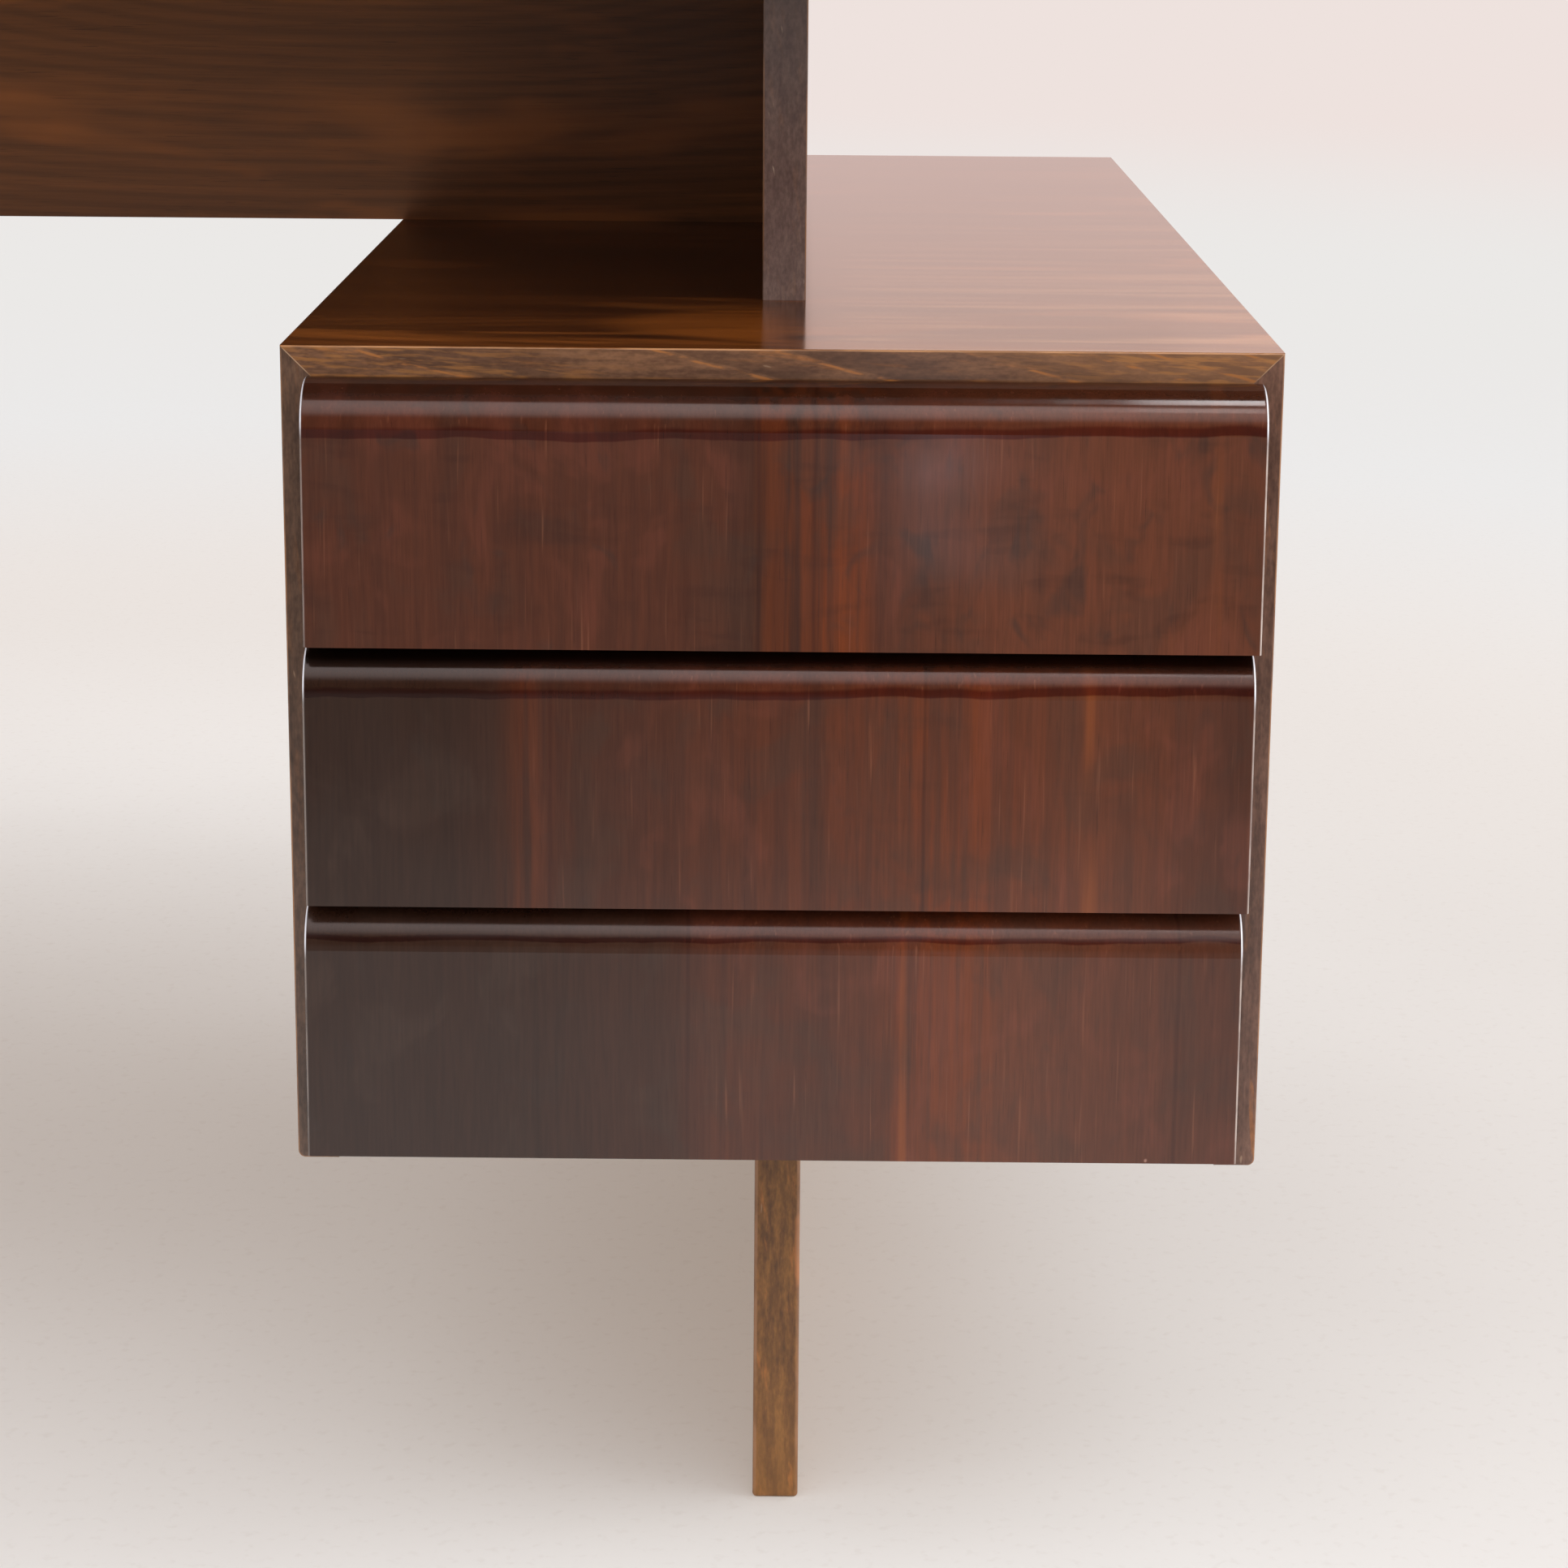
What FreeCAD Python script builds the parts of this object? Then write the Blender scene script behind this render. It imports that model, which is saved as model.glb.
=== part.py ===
"""Writing desk: a hanging three-drawer pedestal carried between two planks, an apron and a
desktop on cleats.

The desk stands on z = 0 and is centred on x = 0 and y = 0.  +X is the user's right, +Y points
away from the user, +Z is up.  The drawers face -Y.  All lengths are in millimetres.
"""
import FreeCAD, Part
import math
import os

import Sketcher
from FreeCAD import Placement, Rotation, Vector

# Driving sizes in millimetres, one cell of the sheet each.
SIZES = {
    # Desktop: a veneered panel framed by solid lippings
    "top_length": 1600.0,
    "top_depth": 880.0,
    "top_thick": 30.0,
    "desk_height": 750.0,
    "lip_width": 14.0,
    "lip_round": 2.0,
    # Where the two planks stand, from the ends of the desktop to the planks' middles
    "right_overhang": 240.0,
    "left_overhang": 160.0,
    # Pedestal carcase
    "ped_width": 400.0,
    "ped_depth": 836.0,
    "ped_height": 342.5,
    "ped_lift": 214.0,
    "ped_board": 17.0,
    "ped_corner_round": 3.0,
    "ped_arris": 0.8,
    "bottom_recess": 3.0,
    "bottom_setback": 8.0,
    "bottom_housing": 5.0,
    "back_board": 10.0,
    "back_lap": 8.0,
    "spline_thick": 4.0,
    "spline_width": 11.0,
    "spline_stop": 25.0,
    # Planks and the leg under the pedestal
    "waist_setback": 148.0,
    "plank_thick": 19.0,
    "plank_arris": 0.8,
    "top_flare": 45.0,
    "leg_thick": 21.0,
    "leg_arris": 2.0,
    "foot_flare": 24.0,
    "waist_radius": 260.0,
    # Apron between the planks
    "apron_setback": 455.0,
    "apron_thick": 20.0,
    # Cleats under the desktop
    "cleat_size": 20.0,
    "cleat_length": 440.0,
    "cleat_end_gap": 30.0,
    # Dowels and screws
    "dowel_radius": 4.0,
    "dowel_length": 30.0,
    "dowel_seat": 11.0,
    "screw_radius": 2.0,
    "screw_head_radius": 4.0,
    "screw_head_height": 2.5,
    "cleat_screw_length": 32.0,
    "plank_screw_length": 50.0,
    "runner_screw_length": 20.0,
    "panel_screw_length": 20.0,
    # Drawer fronts: they lap over the carcase and lean out to a finger edge below
    "front_width": 382.2,
    "front_1_shift": 1.0,
    "front_2_shift": -0.2,
    "front_3_shift": -1.7,
    "front_height": 105.9,
    "front_between": 1.6,
    "front_reveal_below": 9.4,
    "front_thick_top": 20.0,
    "front_thick_bottom": 22.5,
    "front_nose_round": 18.5,
    "front_arris": 1.4,
    "front_gap": 0.4,
    # Drawer boxes
    "box_gap": 2.0,
    "box_rise": 13.4,
    "side_height": 83.0,
    "side_length": 770.0,
    "side_thick": 14.0,
    "dovetail_depth": 8.0,
    "dovetail_shoulder": 3.0,
    "dovetail_flare": 1.5,
    "panel_rise": 8.0,
    "panel_thick": 5.0,
    "panel_tongue": 6.0,
    "box_back_thick": 12.0,
    "box_back_inset": 10.0,
    "box_back_housing": 5.0,
    "box_back_drop": 4.0,
    # Runners screwed to the carcase, in grooves of the drawer sides
    "runner_thick": 9.0,
    "runner_height": 14.0,
    "runner_length": 780.0,
    "runner_setback": 12.0,
    "groove_depth": 8.0,
    "run_gap": 0.3,
    "run_slack": 0.7,
    # How far a cutting tool runs past the face that it cuts
    "overrun": 2.0,
    # How near an edge must lie to a place to be picked for rounding
    "pick_reach": 0.1,
}

# Places of the fasteners as shares of the half length or of the height that they share out
HALF = 0.5
DIAGONAL_SHARE = math.sqrt(HALF)
PLANK_SCREW_SHARES = (-0.55, 0.0, 0.55)
PLANK_DOWEL_SHARES = (-0.8, -0.28, 0.28, 0.8)
CLEAT_UP_SHARES = (-0.85, 0.0, 0.85)
CLEAT_SIDE_SHARES = (-0.45, 0.45)
APRON_UP_SHARES = (-0.9, -0.45, 0.0, 0.45, 0.9)
APRON_SIDE_SHARES = (-0.7, -0.22, 0.22, 0.7)
APRON_DOWEL_SHARES = (0.25, 0.7)
RUNNER_SCREW_SHARES = (0.06, 0.5, 0.94)
PANEL_SCREW_SHARES = (-0.7, 0.0, 0.7)
DRAWER_COUNT = 3

# The waist of the full-height plank is rounded no wider than this share of the plank above it
WAIST_REACH_SHARE = 2.0

# Turns that lay a piece made along +Z in another direction
TURNS = {
    "+x": Rotation(Vector(0, 1, 0), 90),
    "-x": Rotation(Vector(0, 1, 0), -90),
    "-y": Rotation(Vector(1, 0, 0), 90),
    "+z": Rotation(),
    "-z": Rotation(Vector(1, 0, 0), 180),
}


class Size:
    """A length with its value and the sheet expression that gives it."""

    def __init__(self, value, text):
        self.value = value
        self.text = text

    def __add__(self, other):
        return Size(self.value + other.value, f"({self.text} + {other.text})")

    def __sub__(self, other):
        return Size(self.value - other.value, f"({self.text} - {other.text})")

    def __mul__(self, share):
        return Size(self.value * share, f"({self.text} * {share:.9f})")

    def __neg__(self):
        return Size(-self.value, f"(0 - {self.text})")


def smaller(one, other):
    """The smaller of two sizes, also when the sheet changes."""
    text = f"min({one.text}; {other.text})"
    return Size(min(one.value, other.value), text)


def make_sheet(doc):
    """Write the driving sizes to the sheet and give each back as a Size by its alias."""
    sheet = doc.addObject("Spreadsheet::Sheet", "Sizes")
    sizes = {}
    for row, (alias, value) in enumerate(SIZES.items(), start=1):
        sheet.set(f"A{row}", alias)
        sheet.set(f"B{row}", str(value))
        sheet.setAlias(f"B{row}", alias)
        sizes[alias] = Size(value, f"Sizes.{alias}")
    doc.recompute()
    return sizes


doc = FreeCAD.newDocument("Desk")
S = make_sheet(doc)
ZERO = Size(0.0, "0")
NODES = []

# Levels and places that several pieces share
top_under = S["desk_height"] - S["top_thick"]
ped_bottom = S["ped_lift"]
ped_top = S["ped_lift"] + S["ped_height"]
ped_under = ped_bottom + S["bottom_recess"]
ped_x = S["top_length"] * HALF - S["right_overhang"]
left_x = S["left_overhang"] - S["top_length"] * HALF
ped_half = S["ped_width"] * HALF
ped_inner_half = ped_half - S["ped_board"]
ped_front = -S["ped_depth"] * HALF
ped_back = S["ped_depth"] * HALF
waist_half = ped_back - S["waist_setback"]
apron_front = ped_front + S["apron_setback"]
apron_back = apron_front + S["apron_thick"]
apron_left = left_x + S["leg_thick"] * HALF
apron_right = ped_x - S["plank_thick"] * HALF
box_half = ped_inner_half - S["box_gap"]
front_back_face = -S["front_gap"]


def bind(item, name, size):
    """Drive one property of an object from the sheet."""
    item.setExpression(name, size.text)


def keep(label, item):
    """Label a finished sub-part and list it for export."""
    item.Label = label
    NODES.append(item)
    return item


def between(name, x_span, y_span, z_span):
    """A rectangular piece between two faces along each axis."""
    piece = doc.addObject("Part::Box", name)
    spans = zip(("Length", "Width", "Height"), "xyz", (x_span, y_span, z_span))
    for side, axis, (low, high) in spans:
        bind(piece, side, high - low)
        bind(piece, f"Placement.Base.{axis}", low)
    return piece


def prism(name, plane, points, start, end):
    """A body whose outline lies in one plane and runs from start to end across it."""
    body = doc.addObject("PartDesign::Body", name)
    sketch = body.newObject("Sketcher::SketchObject", f"{name}_outline")
    support = next(f for f in body.Origin.OriginFeatures if f.Role == f"{plane}_Plane")
    sketch.AttachmentSupport = [(support, "")]
    sketch.MapMode = "FlatFace"
    corners = [Vector(u.value, v.value, 0) for u, v in points]
    count = len(corners)
    for index, corner in enumerate(corners):
        sketch.addGeometry(Part.LineSegment(corner, corners[(index + 1) % count]), False)
    for index in range(count):
        joined = Sketcher.Constraint("Coincident", index, 2, (index + 1) % count, 1)
        sketch.addConstraint(joined)
    for index, point in enumerate(points):
        for kind, size in zip(("DistanceX", "DistanceY"), point):
            placed = Sketcher.Constraint(kind, -1, 1, index, 1, size.value)
            number = sketch.addConstraint(placed)
            sketch.renameConstraint(number, f"{kind}{index}")
            bind(sketch, f"Constraints.{kind}{index}", size)
    pad = body.newObject("PartDesign::Pad", f"{name}_pad")
    pad.Profile = sketch
    pad.Midplane = True
    bind(pad, "Length", end - start)
    across = {"XY": "z", "XZ": "y", "YZ": "x"}[plane]
    bind(body, f"Placement.Base.{across}", (start + end) * HALF)
    return body


def soften(body, radius, wanted):
    """Round the edges of a body that the test picks out."""
    doc.recompute()
    base = body.Tip
    names = [f"Edge{n}" for n, edge in enumerate(base.Shape.Edges, 1) if wanted(edge)]
    if not names:
        raise RuntimeError(f"{body.Name}: no edge to round")
    fillet = body.newObject("PartDesign::Fillet", f"{base.Name}_round")
    fillet.Base = (base, names)
    bind(fillet, "Radius", radius)
    body.Tip = fillet
    return body


def cut(name, base, *tools):
    """Take one tool after another away from a piece."""
    for number, tool in enumerate(tools, start=1):
        last = number == len(tools)
        result = doc.addObject("Part::Cut", name if last else f"{name}_cut{number}")
        result.Base = base
        result.Tool = tool
        base = result
    return base


def rod(name, kind, place, direction, sizes):
    """A cylinder or cone from a place along a direction."""
    item = doc.addObject(f"Part::{kind}", name)
    item.Placement = Placement(Vector(), TURNS[direction])
    for axis, size in zip("xyz", place):
        bind(item, f"Placement.Base.{axis}", size)
    for prop, size in sizes.items():
        bind(item, prop, size)
    return item


def screws(name, places, length):
    """Countersunk screws as one group: each place is where a head lies and where it points."""
    shank = {"Radius": S["screw_radius"], "Height": length}
    head = {
        "Radius1": S["screw_head_radius"],
        "Radius2": S["screw_radius"],
        "Height": S["screw_head_height"],
    }
    pieces = []
    for number, (place, direction) in enumerate(places, start=1):
        pieces.append(rod(f"{name}_shank{number}", "Cylinder", place, direction, shank))
        pieces.append(rod(f"{name}_head{number}", "Cone", place, direction, head))
    group = doc.addObject("Part::MultiFuse", name)
    group.Shapes = pieces
    return group


def dowels(name, places):
    """Wooden dowels as one group of separate solids."""
    sizes = {"Radius": S["dowel_radius"], "Height": S["dowel_length"]}
    group = doc.addObject("Part::Compound", name)
    group.Links = [
        rod(f"{name}_{number}", "Cylinder", place, direction, sizes)
        for number, (place, direction) in enumerate(places, start=1)
    ]
    return group


def runs_along(edge, axis):
    """Tell whether a straight edge runs along an axis."""
    if edge.Curve.TypeId != "Part::GeomLine":
        return False
    return abs(getattr(edge.Curve.Direction, axis)) > 1 - Part.Precision.confusion()


def near(value, size):
    """Tell whether a coordinate lies at a size."""
    return abs(value - size.value) < S["pick_reach"].value


# Desktop


def make_desktop_lippings():
    """Four solid edge strips, mitred at the corners of the desktop."""
    outer_x, outer_y = S["top_length"] * HALF, S["top_depth"] * HALF
    inner_x, inner_y = outer_x - S["lip_width"], outer_y - S["lip_width"]
    outlines = {
        "front": [(-outer_x, -outer_y), (outer_x, -outer_y), (inner_x, -inner_y), (-inner_x, -inner_y)],
        "back": [(-outer_x, outer_y), (-inner_x, inner_y), (inner_x, inner_y), (outer_x, outer_y)],
        "left": [(-outer_x, -outer_y), (-inner_x, -inner_y), (-inner_x, inner_y), (-outer_x, outer_y)],
        "right": [(outer_x, -outer_y), (outer_x, outer_y), (inner_x, inner_y), (inner_x, -inner_y)],
    }
    for side, outline in outlines.items():
        lipping = prism(f"desktop_lipping_{side}", "XY", outline, top_under, S["desk_height"])
        axis, other, reach = ("x", "y", outer_y) if side in ("front", "back") else ("y", "x", outer_x)

        def on_outer_edge(edge, axis=axis, other=other, reach=reach):
            return runs_along(edge, axis) and near(abs(getattr(edge.CenterOfMass, other)), reach)

        soften(lipping, S["lip_round"], on_outer_edge)
        keep(f"desktop_lipping_{side}", lipping)


def make_desktop_panel(cleat_screws):
    """The veneered panel inside the lippings, with the pilot holes of the cleat screws."""
    half_x = S["top_length"] * HALF - S["lip_width"]
    half_y = S["top_depth"] * HALF - S["lip_width"]
    blank = between(
        "desktop_blank", (-half_x, half_x), (-half_y, half_y), (top_under, S["desk_height"])
    )
    keep("desktop_panel", cut("desktop_panel", blank, cleat_screws))


# Cleats, planks and apron


def cleat_spans():
    """Where the three cleats lie under the desktop."""
    size, half = S["cleat_size"], S["cleat_length"] * HALF
    right_face = ped_x + S["plank_thick"] * HALF
    left_face = left_x - S["leg_thick"] * HALF
    level = (top_under - size, top_under)
    return {
        "right_plank_cleat": ((right_face, right_face + size), (-half, half), level),
        "left_plank_cleat": ((left_face - size, left_face), (-half, half), level),
        "apron_cleat": (
            (apron_left + S["cleat_end_gap"], apron_right - S["cleat_end_gap"]),
            (apron_back, apron_back + size),
            level,
        ),
    }


def make_cleat_screws(spans):
    """Screws up through the cleats into the desktop and sideways into planks and apron."""
    places = []
    size, half = S["cleat_size"], S["cleat_length"] * HALF
    under = top_under - size
    middle = top_under - size * HALF
    for label, direction, head_x in (
        ("right_plank_cleat", "-x", spans["right_plank_cleat"][0][1]),
        ("left_plank_cleat", "+x", spans["left_plank_cleat"][0][0]),
    ):
        low, high = spans[label][0]
        for share in CLEAT_UP_SHARES:
            places.append((((low + high) * HALF, half * share, under), "+z"))
        for share in CLEAT_SIDE_SHARES:
            places.append(((head_x, half * share, middle), direction))
    (low, high), (near_face, far_face), _ = spans["apron_cleat"]
    apron_middle, apron_half = (low + high) * HALF, (high - low) * HALF
    for share in APRON_UP_SHARES:
        at = apron_middle + apron_half * share
        places.append(((at, (near_face + far_face) * HALF, under), "+z"))
    for share in APRON_SIDE_SHARES:
        places.append(((apron_middle + apron_half * share, far_face, middle), "-y"))
    return keep("cleat_screws", screws("cleat_screws", places, S["cleat_screw_length"]))


def make_cleats(spans, cleat_screws):
    """Square battens that tie the desktop to the planks and the apron."""
    for label, span in spans.items():
        blank = between(f"{label}_blank", *span)
        keep(label, cut(label, blank, cleat_screws))


def make_plank_fixings():
    """Dowels and long screws that tie the planks to the pedestal."""
    dowel_places, screw_places = [], []
    for share in PLANK_DOWEL_SHARES:
        at = waist_half * share
        dowel_places.append(((ped_x, at, ped_top - S["dowel_seat"]), "+z"))
        dowel_places.append(((ped_x, at, ped_under + S["dowel_seat"]), "-z"))
    for share in PLANK_SCREW_SHARES:
        at = waist_half * share
        screw_places.append(((ped_x, at, ped_top - S["ped_board"]), "+z"))
        screw_places.append(((ped_x, at, ped_under + S["ped_board"]), "-z"))
    plank_dowels = keep("plank_dowels", dowels("plank_dowels", dowel_places))
    plank_screws = screws("plank_screws", screw_places, S["plank_screw_length"])
    return plank_dowels, keep("plank_screws", plank_screws)


def make_apron_dowels():
    """Dowels across the joints of the apron with the planks."""
    middle = (apron_front + apron_back) * HALF
    places = []
    for share in APRON_DOWEL_SHARES:
        level = ped_top + (top_under - ped_top) * share
        places.append(((apron_left - S["dowel_seat"], middle, level), "+x"))
        places.append(((apron_right + S["dowel_seat"], middle, level), "-x"))
    return keep("apron_dowels", dowels("apron_dowels", places))


def make_upper_plank(fixings):
    """The plank from the pedestal to the desktop; its edges spread towards the top."""
    wide = waist_half + S["top_flare"]
    outline = [(-waist_half, ped_top), (waist_half, ped_top), (wide, top_under), (-wide, top_under)]
    half = S["plank_thick"] * HALF
    plank = prism("upper_plank_blank", "YZ", outline, ped_x - half, ped_x + half)

    def on_sloping_edge(edge):
        box = edge.BoundBox
        return box.XLength < S["pick_reach"].value and box.ZLength > S["pick_reach"].value

    soften(plank, S["plank_arris"], on_sloping_edge)
    keep("upper_right_plank", cut("upper_right_plank", plank, *fixings))


def make_lower_leg(fixings):
    """The plank under the pedestal; its edges spread towards the floor."""
    wide = waist_half + S["foot_flare"]
    outline = [(-wide, ZERO), (wide, ZERO), (waist_half, ped_under), (-waist_half, ped_under)]
    half = S["leg_thick"] * HALF
    leg = prism("lower_leg_blank", "YZ", outline, ped_x - half, ped_x + half)

    def below_the_top(edge):
        return edge.BoundBox.ZMin < ped_under.value - S["pick_reach"].value

    soften(leg, S["leg_arris"], below_the_top)
    keep("lower_right_leg", cut("lower_right_leg", leg, *fixings))


def make_left_plank(fixings):
    """The full-height plank at the other end, with a waist as high as the pedestal."""
    foot, wide = waist_half + S["foot_flare"], waist_half + S["top_flare"]
    right = [(foot, ZERO), (waist_half, ped_bottom), (waist_half, ped_top), (wide, top_under)]
    outline = right + [(-y, z) for y, z in reversed(right)]
    half = S["leg_thick"] * HALF
    plank = prism("left_plank_blank", "YZ", outline, left_x - half, left_x + half)

    def at_the_waist(edge):
        return runs_along(edge, "x") and near(abs(edge.CenterOfMass.y), waist_half)

    def below_the_top(edge):
        return edge.BoundBox.ZMin < top_under.value - S["pick_reach"].value

    soften(plank, smaller(S["waist_radius"], (top_under - ped_top) * WAIST_REACH_SHARE), at_the_waist)
    soften(plank, S["leg_arris"], below_the_top)
    keep("left_plank", cut("left_plank", plank, *fixings))


def make_apron(fixings):
    """The board between the planks; it stands on the pedestal and carries the desktop."""
    blank = between(
        "apron_blank", (apron_left, apron_right), (apron_front, apron_back), (ped_top, top_under)
    )
    keep("apron", cut("apron", blank, *fixings))


# Pedestal carcase


def make_splines():
    """Loose tongues across the two mitres, stopped short of the front edge."""
    splines = []
    reach = S["spline_width"] * HALF * DIAGONAL_SHARE
    half_thick = S["spline_thick"] * HALF * DIAGONAL_SHARE
    middle_z = ped_top - S["ped_board"] * HALF
    for side, sign in (("left", -1), ("right", 1)):
        middle_x = ped_x + (ped_half - S["ped_board"] * HALF) * sign
        inward, across = reach * -sign, half_thick * sign
        outline = [
            (middle_x + inward + across, middle_z + reach + half_thick),
            (middle_x + inward - across, middle_z + reach - half_thick),
            (middle_x - inward - across, middle_z - reach - half_thick),
            (middle_x - inward + across, middle_z - reach + half_thick),
        ]
        start = ped_front + S["spline_stop"]
        end = ped_back - S["back_board"]
        splines.append(prism(f"mitre_spline_{side}", "XZ", outline, start, end))
        keep(f"mitre_spline_{side}", splines[-1])
    return splines


def make_pedestal_bottom(fixings):
    """The bottom board, housed between the sides a little above their ends."""
    reach = ped_inner_half + S["bottom_housing"]
    blank = between(
        "pedestal_bottom_blank",
        (ped_x - reach, ped_x + reach),
        (ped_front + S["bottom_setback"], ped_back - S["back_board"]),
        (ped_under, ped_under + S["ped_board"]),
    )
    return keep("pedestal_bottom", cut("pedestal_bottom", blank, *fixings))


def make_pedestal_back():
    """The back panel, let into rebates of the sides and the top."""
    reach = ped_inner_half + S["back_lap"]
    rise = ped_top - S["ped_board"] + S["back_lap"]
    span = (ped_x - reach, ped_x + reach), (ped_back - S["back_board"], ped_back), (ped_under, rise)
    return keep("pedestal_back", between("pedestal_back", *span))


def make_pedestal_top(tools):
    """The top board, mitred down both sides."""
    outline = [
        (ped_x - ped_half, ped_top),
        (ped_x - ped_inner_half, ped_top - S["ped_board"]),
        (ped_x + ped_inner_half, ped_top - S["ped_board"]),
        (ped_x + ped_half, ped_top),
    ]
    blank = prism("pedestal_top_blank", "XZ", outline, ped_front, ped_back)

    def end_arris(edge):
        return runs_along(edge, "x") and near(edge.CenterOfMass.z, ped_top)

    soften(blank, S["ped_arris"], end_arris)
    keep("pedestal_top", cut("pedestal_top", blank, *tools))


def make_pedestal_sides(tools):
    """The side boards, mitred at the top and rounded at the outer lower corner."""
    for side, sign in (("left", -1), ("right", 1)):
        outer, inner = ped_x + ped_half * sign, ped_x + ped_inner_half * sign
        outline = [
            (outer, ped_bottom),
            (inner, ped_bottom),
            (inner, ped_top - S["ped_board"]),
            (outer, ped_top),
        ]
        blank = prism(f"pedestal_{side}_blank", "XZ", outline, ped_front, ped_back)

        def outer_lower(edge, outer=outer):
            at = edge.CenterOfMass
            return runs_along(edge, "y") and near(at.x, outer) and near(at.z, ped_bottom)

        def end_arris(edge, outer=outer):
            box = edge.BoundBox
            across = box.YLength < S["pick_reach"].value
            outside = near(box.XMin, outer) or near(box.XMax, outer)
            return across and outside and box.ZLength > S["ped_board"].value

        soften(blank, S["ped_corner_round"], outer_lower)
        soften(blank, S["ped_arris"], end_arris)
        label = f"pedestal_{side}_side"
        keep(label, cut(label, blank, *tools))


# Drawers and their runners. Each drawer is made about its own place: x = 0 in its middle, y = 0
# on the front of the carcase, z = 0 at the lower edge of its front.

side_top = S["box_rise"] + S["side_height"]
runner_low = S["box_rise"] + (S["side_height"] - S["runner_height"]) * HALF
box_end = front_back_face + S["side_length"]
panel_low = S["box_rise"] + S["panel_rise"]
panel_top = panel_low + S["panel_thick"]
panel_half = box_half - S["side_thick"] + S["panel_tongue"]
box_back_end = box_end - S["box_back_inset"]


def drawer_level(number):
    """Height of the lower edge of a drawer front; drawer 1 is the top one."""
    pitch = S["front_height"] + S["front_between"]
    return ped_bottom + S["front_reveal_below"] + pitch * (DRAWER_COUNT - number)


def set_in_place(item, number):
    """Move a finished drawer piece from its own place to its level in the pedestal."""
    bind(item, "Placement.Base.x", ped_x)
    bind(item, "Placement.Base.y", ped_front)
    bind(item, "Placement.Base.z", drawer_level(number))


def dovetail_points(sign):
    """The sliding dovetail of a drawer side, seen from above, from neck to neck."""
    outer, inner = box_half * sign, (box_half - S["side_thick"]) * sign
    shoulder, flare = S["dovetail_shoulder"] * sign, S["dovetail_flare"] * sign
    tip = front_back_face - S["dovetail_depth"]
    return [
        (outer - shoulder, front_back_face),
        (outer - shoulder + flare, tip),
        (inner + shoulder - flare, tip),
        (inner + shoulder, front_back_face),
    ]


def make_drawer_side(drawer, side, sign):
    """A drawer side with its dovetail, runner groove, panel groove and back housing."""
    name = f"{drawer}_{side}_side"
    outer, inner = box_half * sign, (box_half - S["side_thick"]) * sign
    outline = [(outer, box_end), (outer, front_back_face)]
    outline += dovetail_points(sign)
    outline += [(inner, front_back_face), (inner, box_end)]
    blank = prism(f"{name}_blank", "XY", outline, S["box_rise"], side_top)
    past_end = box_end + S["overrun"]
    groove_x = (outer + S["overrun"] * sign, outer - S["groove_depth"] * sign)
    panel_x = (inner - S["overrun"] * sign, inner + S["panel_tongue"] * sign)
    back_x = (inner - S["overrun"] * sign, inner + S["box_back_housing"] * sign)
    groove = between(
        f"{name}_runner_groove",
        sorted(groove_x, key=lambda size: size.value),
        (front_back_face, past_end),
        (runner_low - S["run_slack"], runner_low + S["runner_height"] + S["run_gap"]),
    )
    panel_groove = between(
        f"{name}_panel_groove",
        sorted(panel_x, key=lambda size: size.value),
        (front_back_face - S["panel_tongue"], past_end),
        (panel_low, panel_top),
    )
    housing = between(
        f"{name}_back_housing",
        sorted(back_x, key=lambda size: size.value),
        (box_back_end - S["box_back_thick"], box_back_end),
        (panel_top, side_top + S["overrun"]),
    )
    return cut(name, blank, groove, panel_groove, housing)


def make_drawer_front(number):
    """A front with a round nose on top, a face that leans out below and eased ends."""
    name = f"drawer_{number}_front"
    back = front_back_face
    nose_y, foot_y = back - S["front_thick_top"], back - S["front_thick_bottom"]
    outline = [(back, ZERO), (back, S["front_height"]), (nose_y, S["front_height"]), (foot_y, ZERO)]
    half, shift = S["front_width"] * HALF, S[f"front_{number}_shift"]
    blank = prism(f"{name}_blank", "YZ", outline, shift - half, shift + half)

    def nose(edge):
        at = edge.CenterOfMass
        return runs_along(edge, "x") and near(at.y, nose_y) and near(at.z, S["front_height"])

    def end_arris(edge):
        ahead = edge.BoundBox.YMin < back.value - S["pick_reach"].value
        across = edge.BoundBox.XLength > S["pick_reach"].value
        return ahead and not across and not runs_along(edge, "y")

    soften(blank, S["front_nose_round"], nose)
    soften(blank, S["front_arris"], end_arris)
    tools = []
    for side, sign in (("left", -1), ("right", 1)):
        points = dovetail_points(sign)
        behind = back + S["overrun"]
        points = [(points[0][0], behind), *points, (points[-1][0], behind)]
        socket_name = f"{name}_{side}_socket"
        tools.append(prism(socket_name, "XY", points, -S["overrun"], side_top))
    tools.append(
        between(
            f"{name}_panel_groove",
            (-panel_half, panel_half),
            (back - S["panel_tongue"], back + S["overrun"]),
            (panel_low, panel_top),
        )
    )
    return cut(name, blank, *tools)


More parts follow.
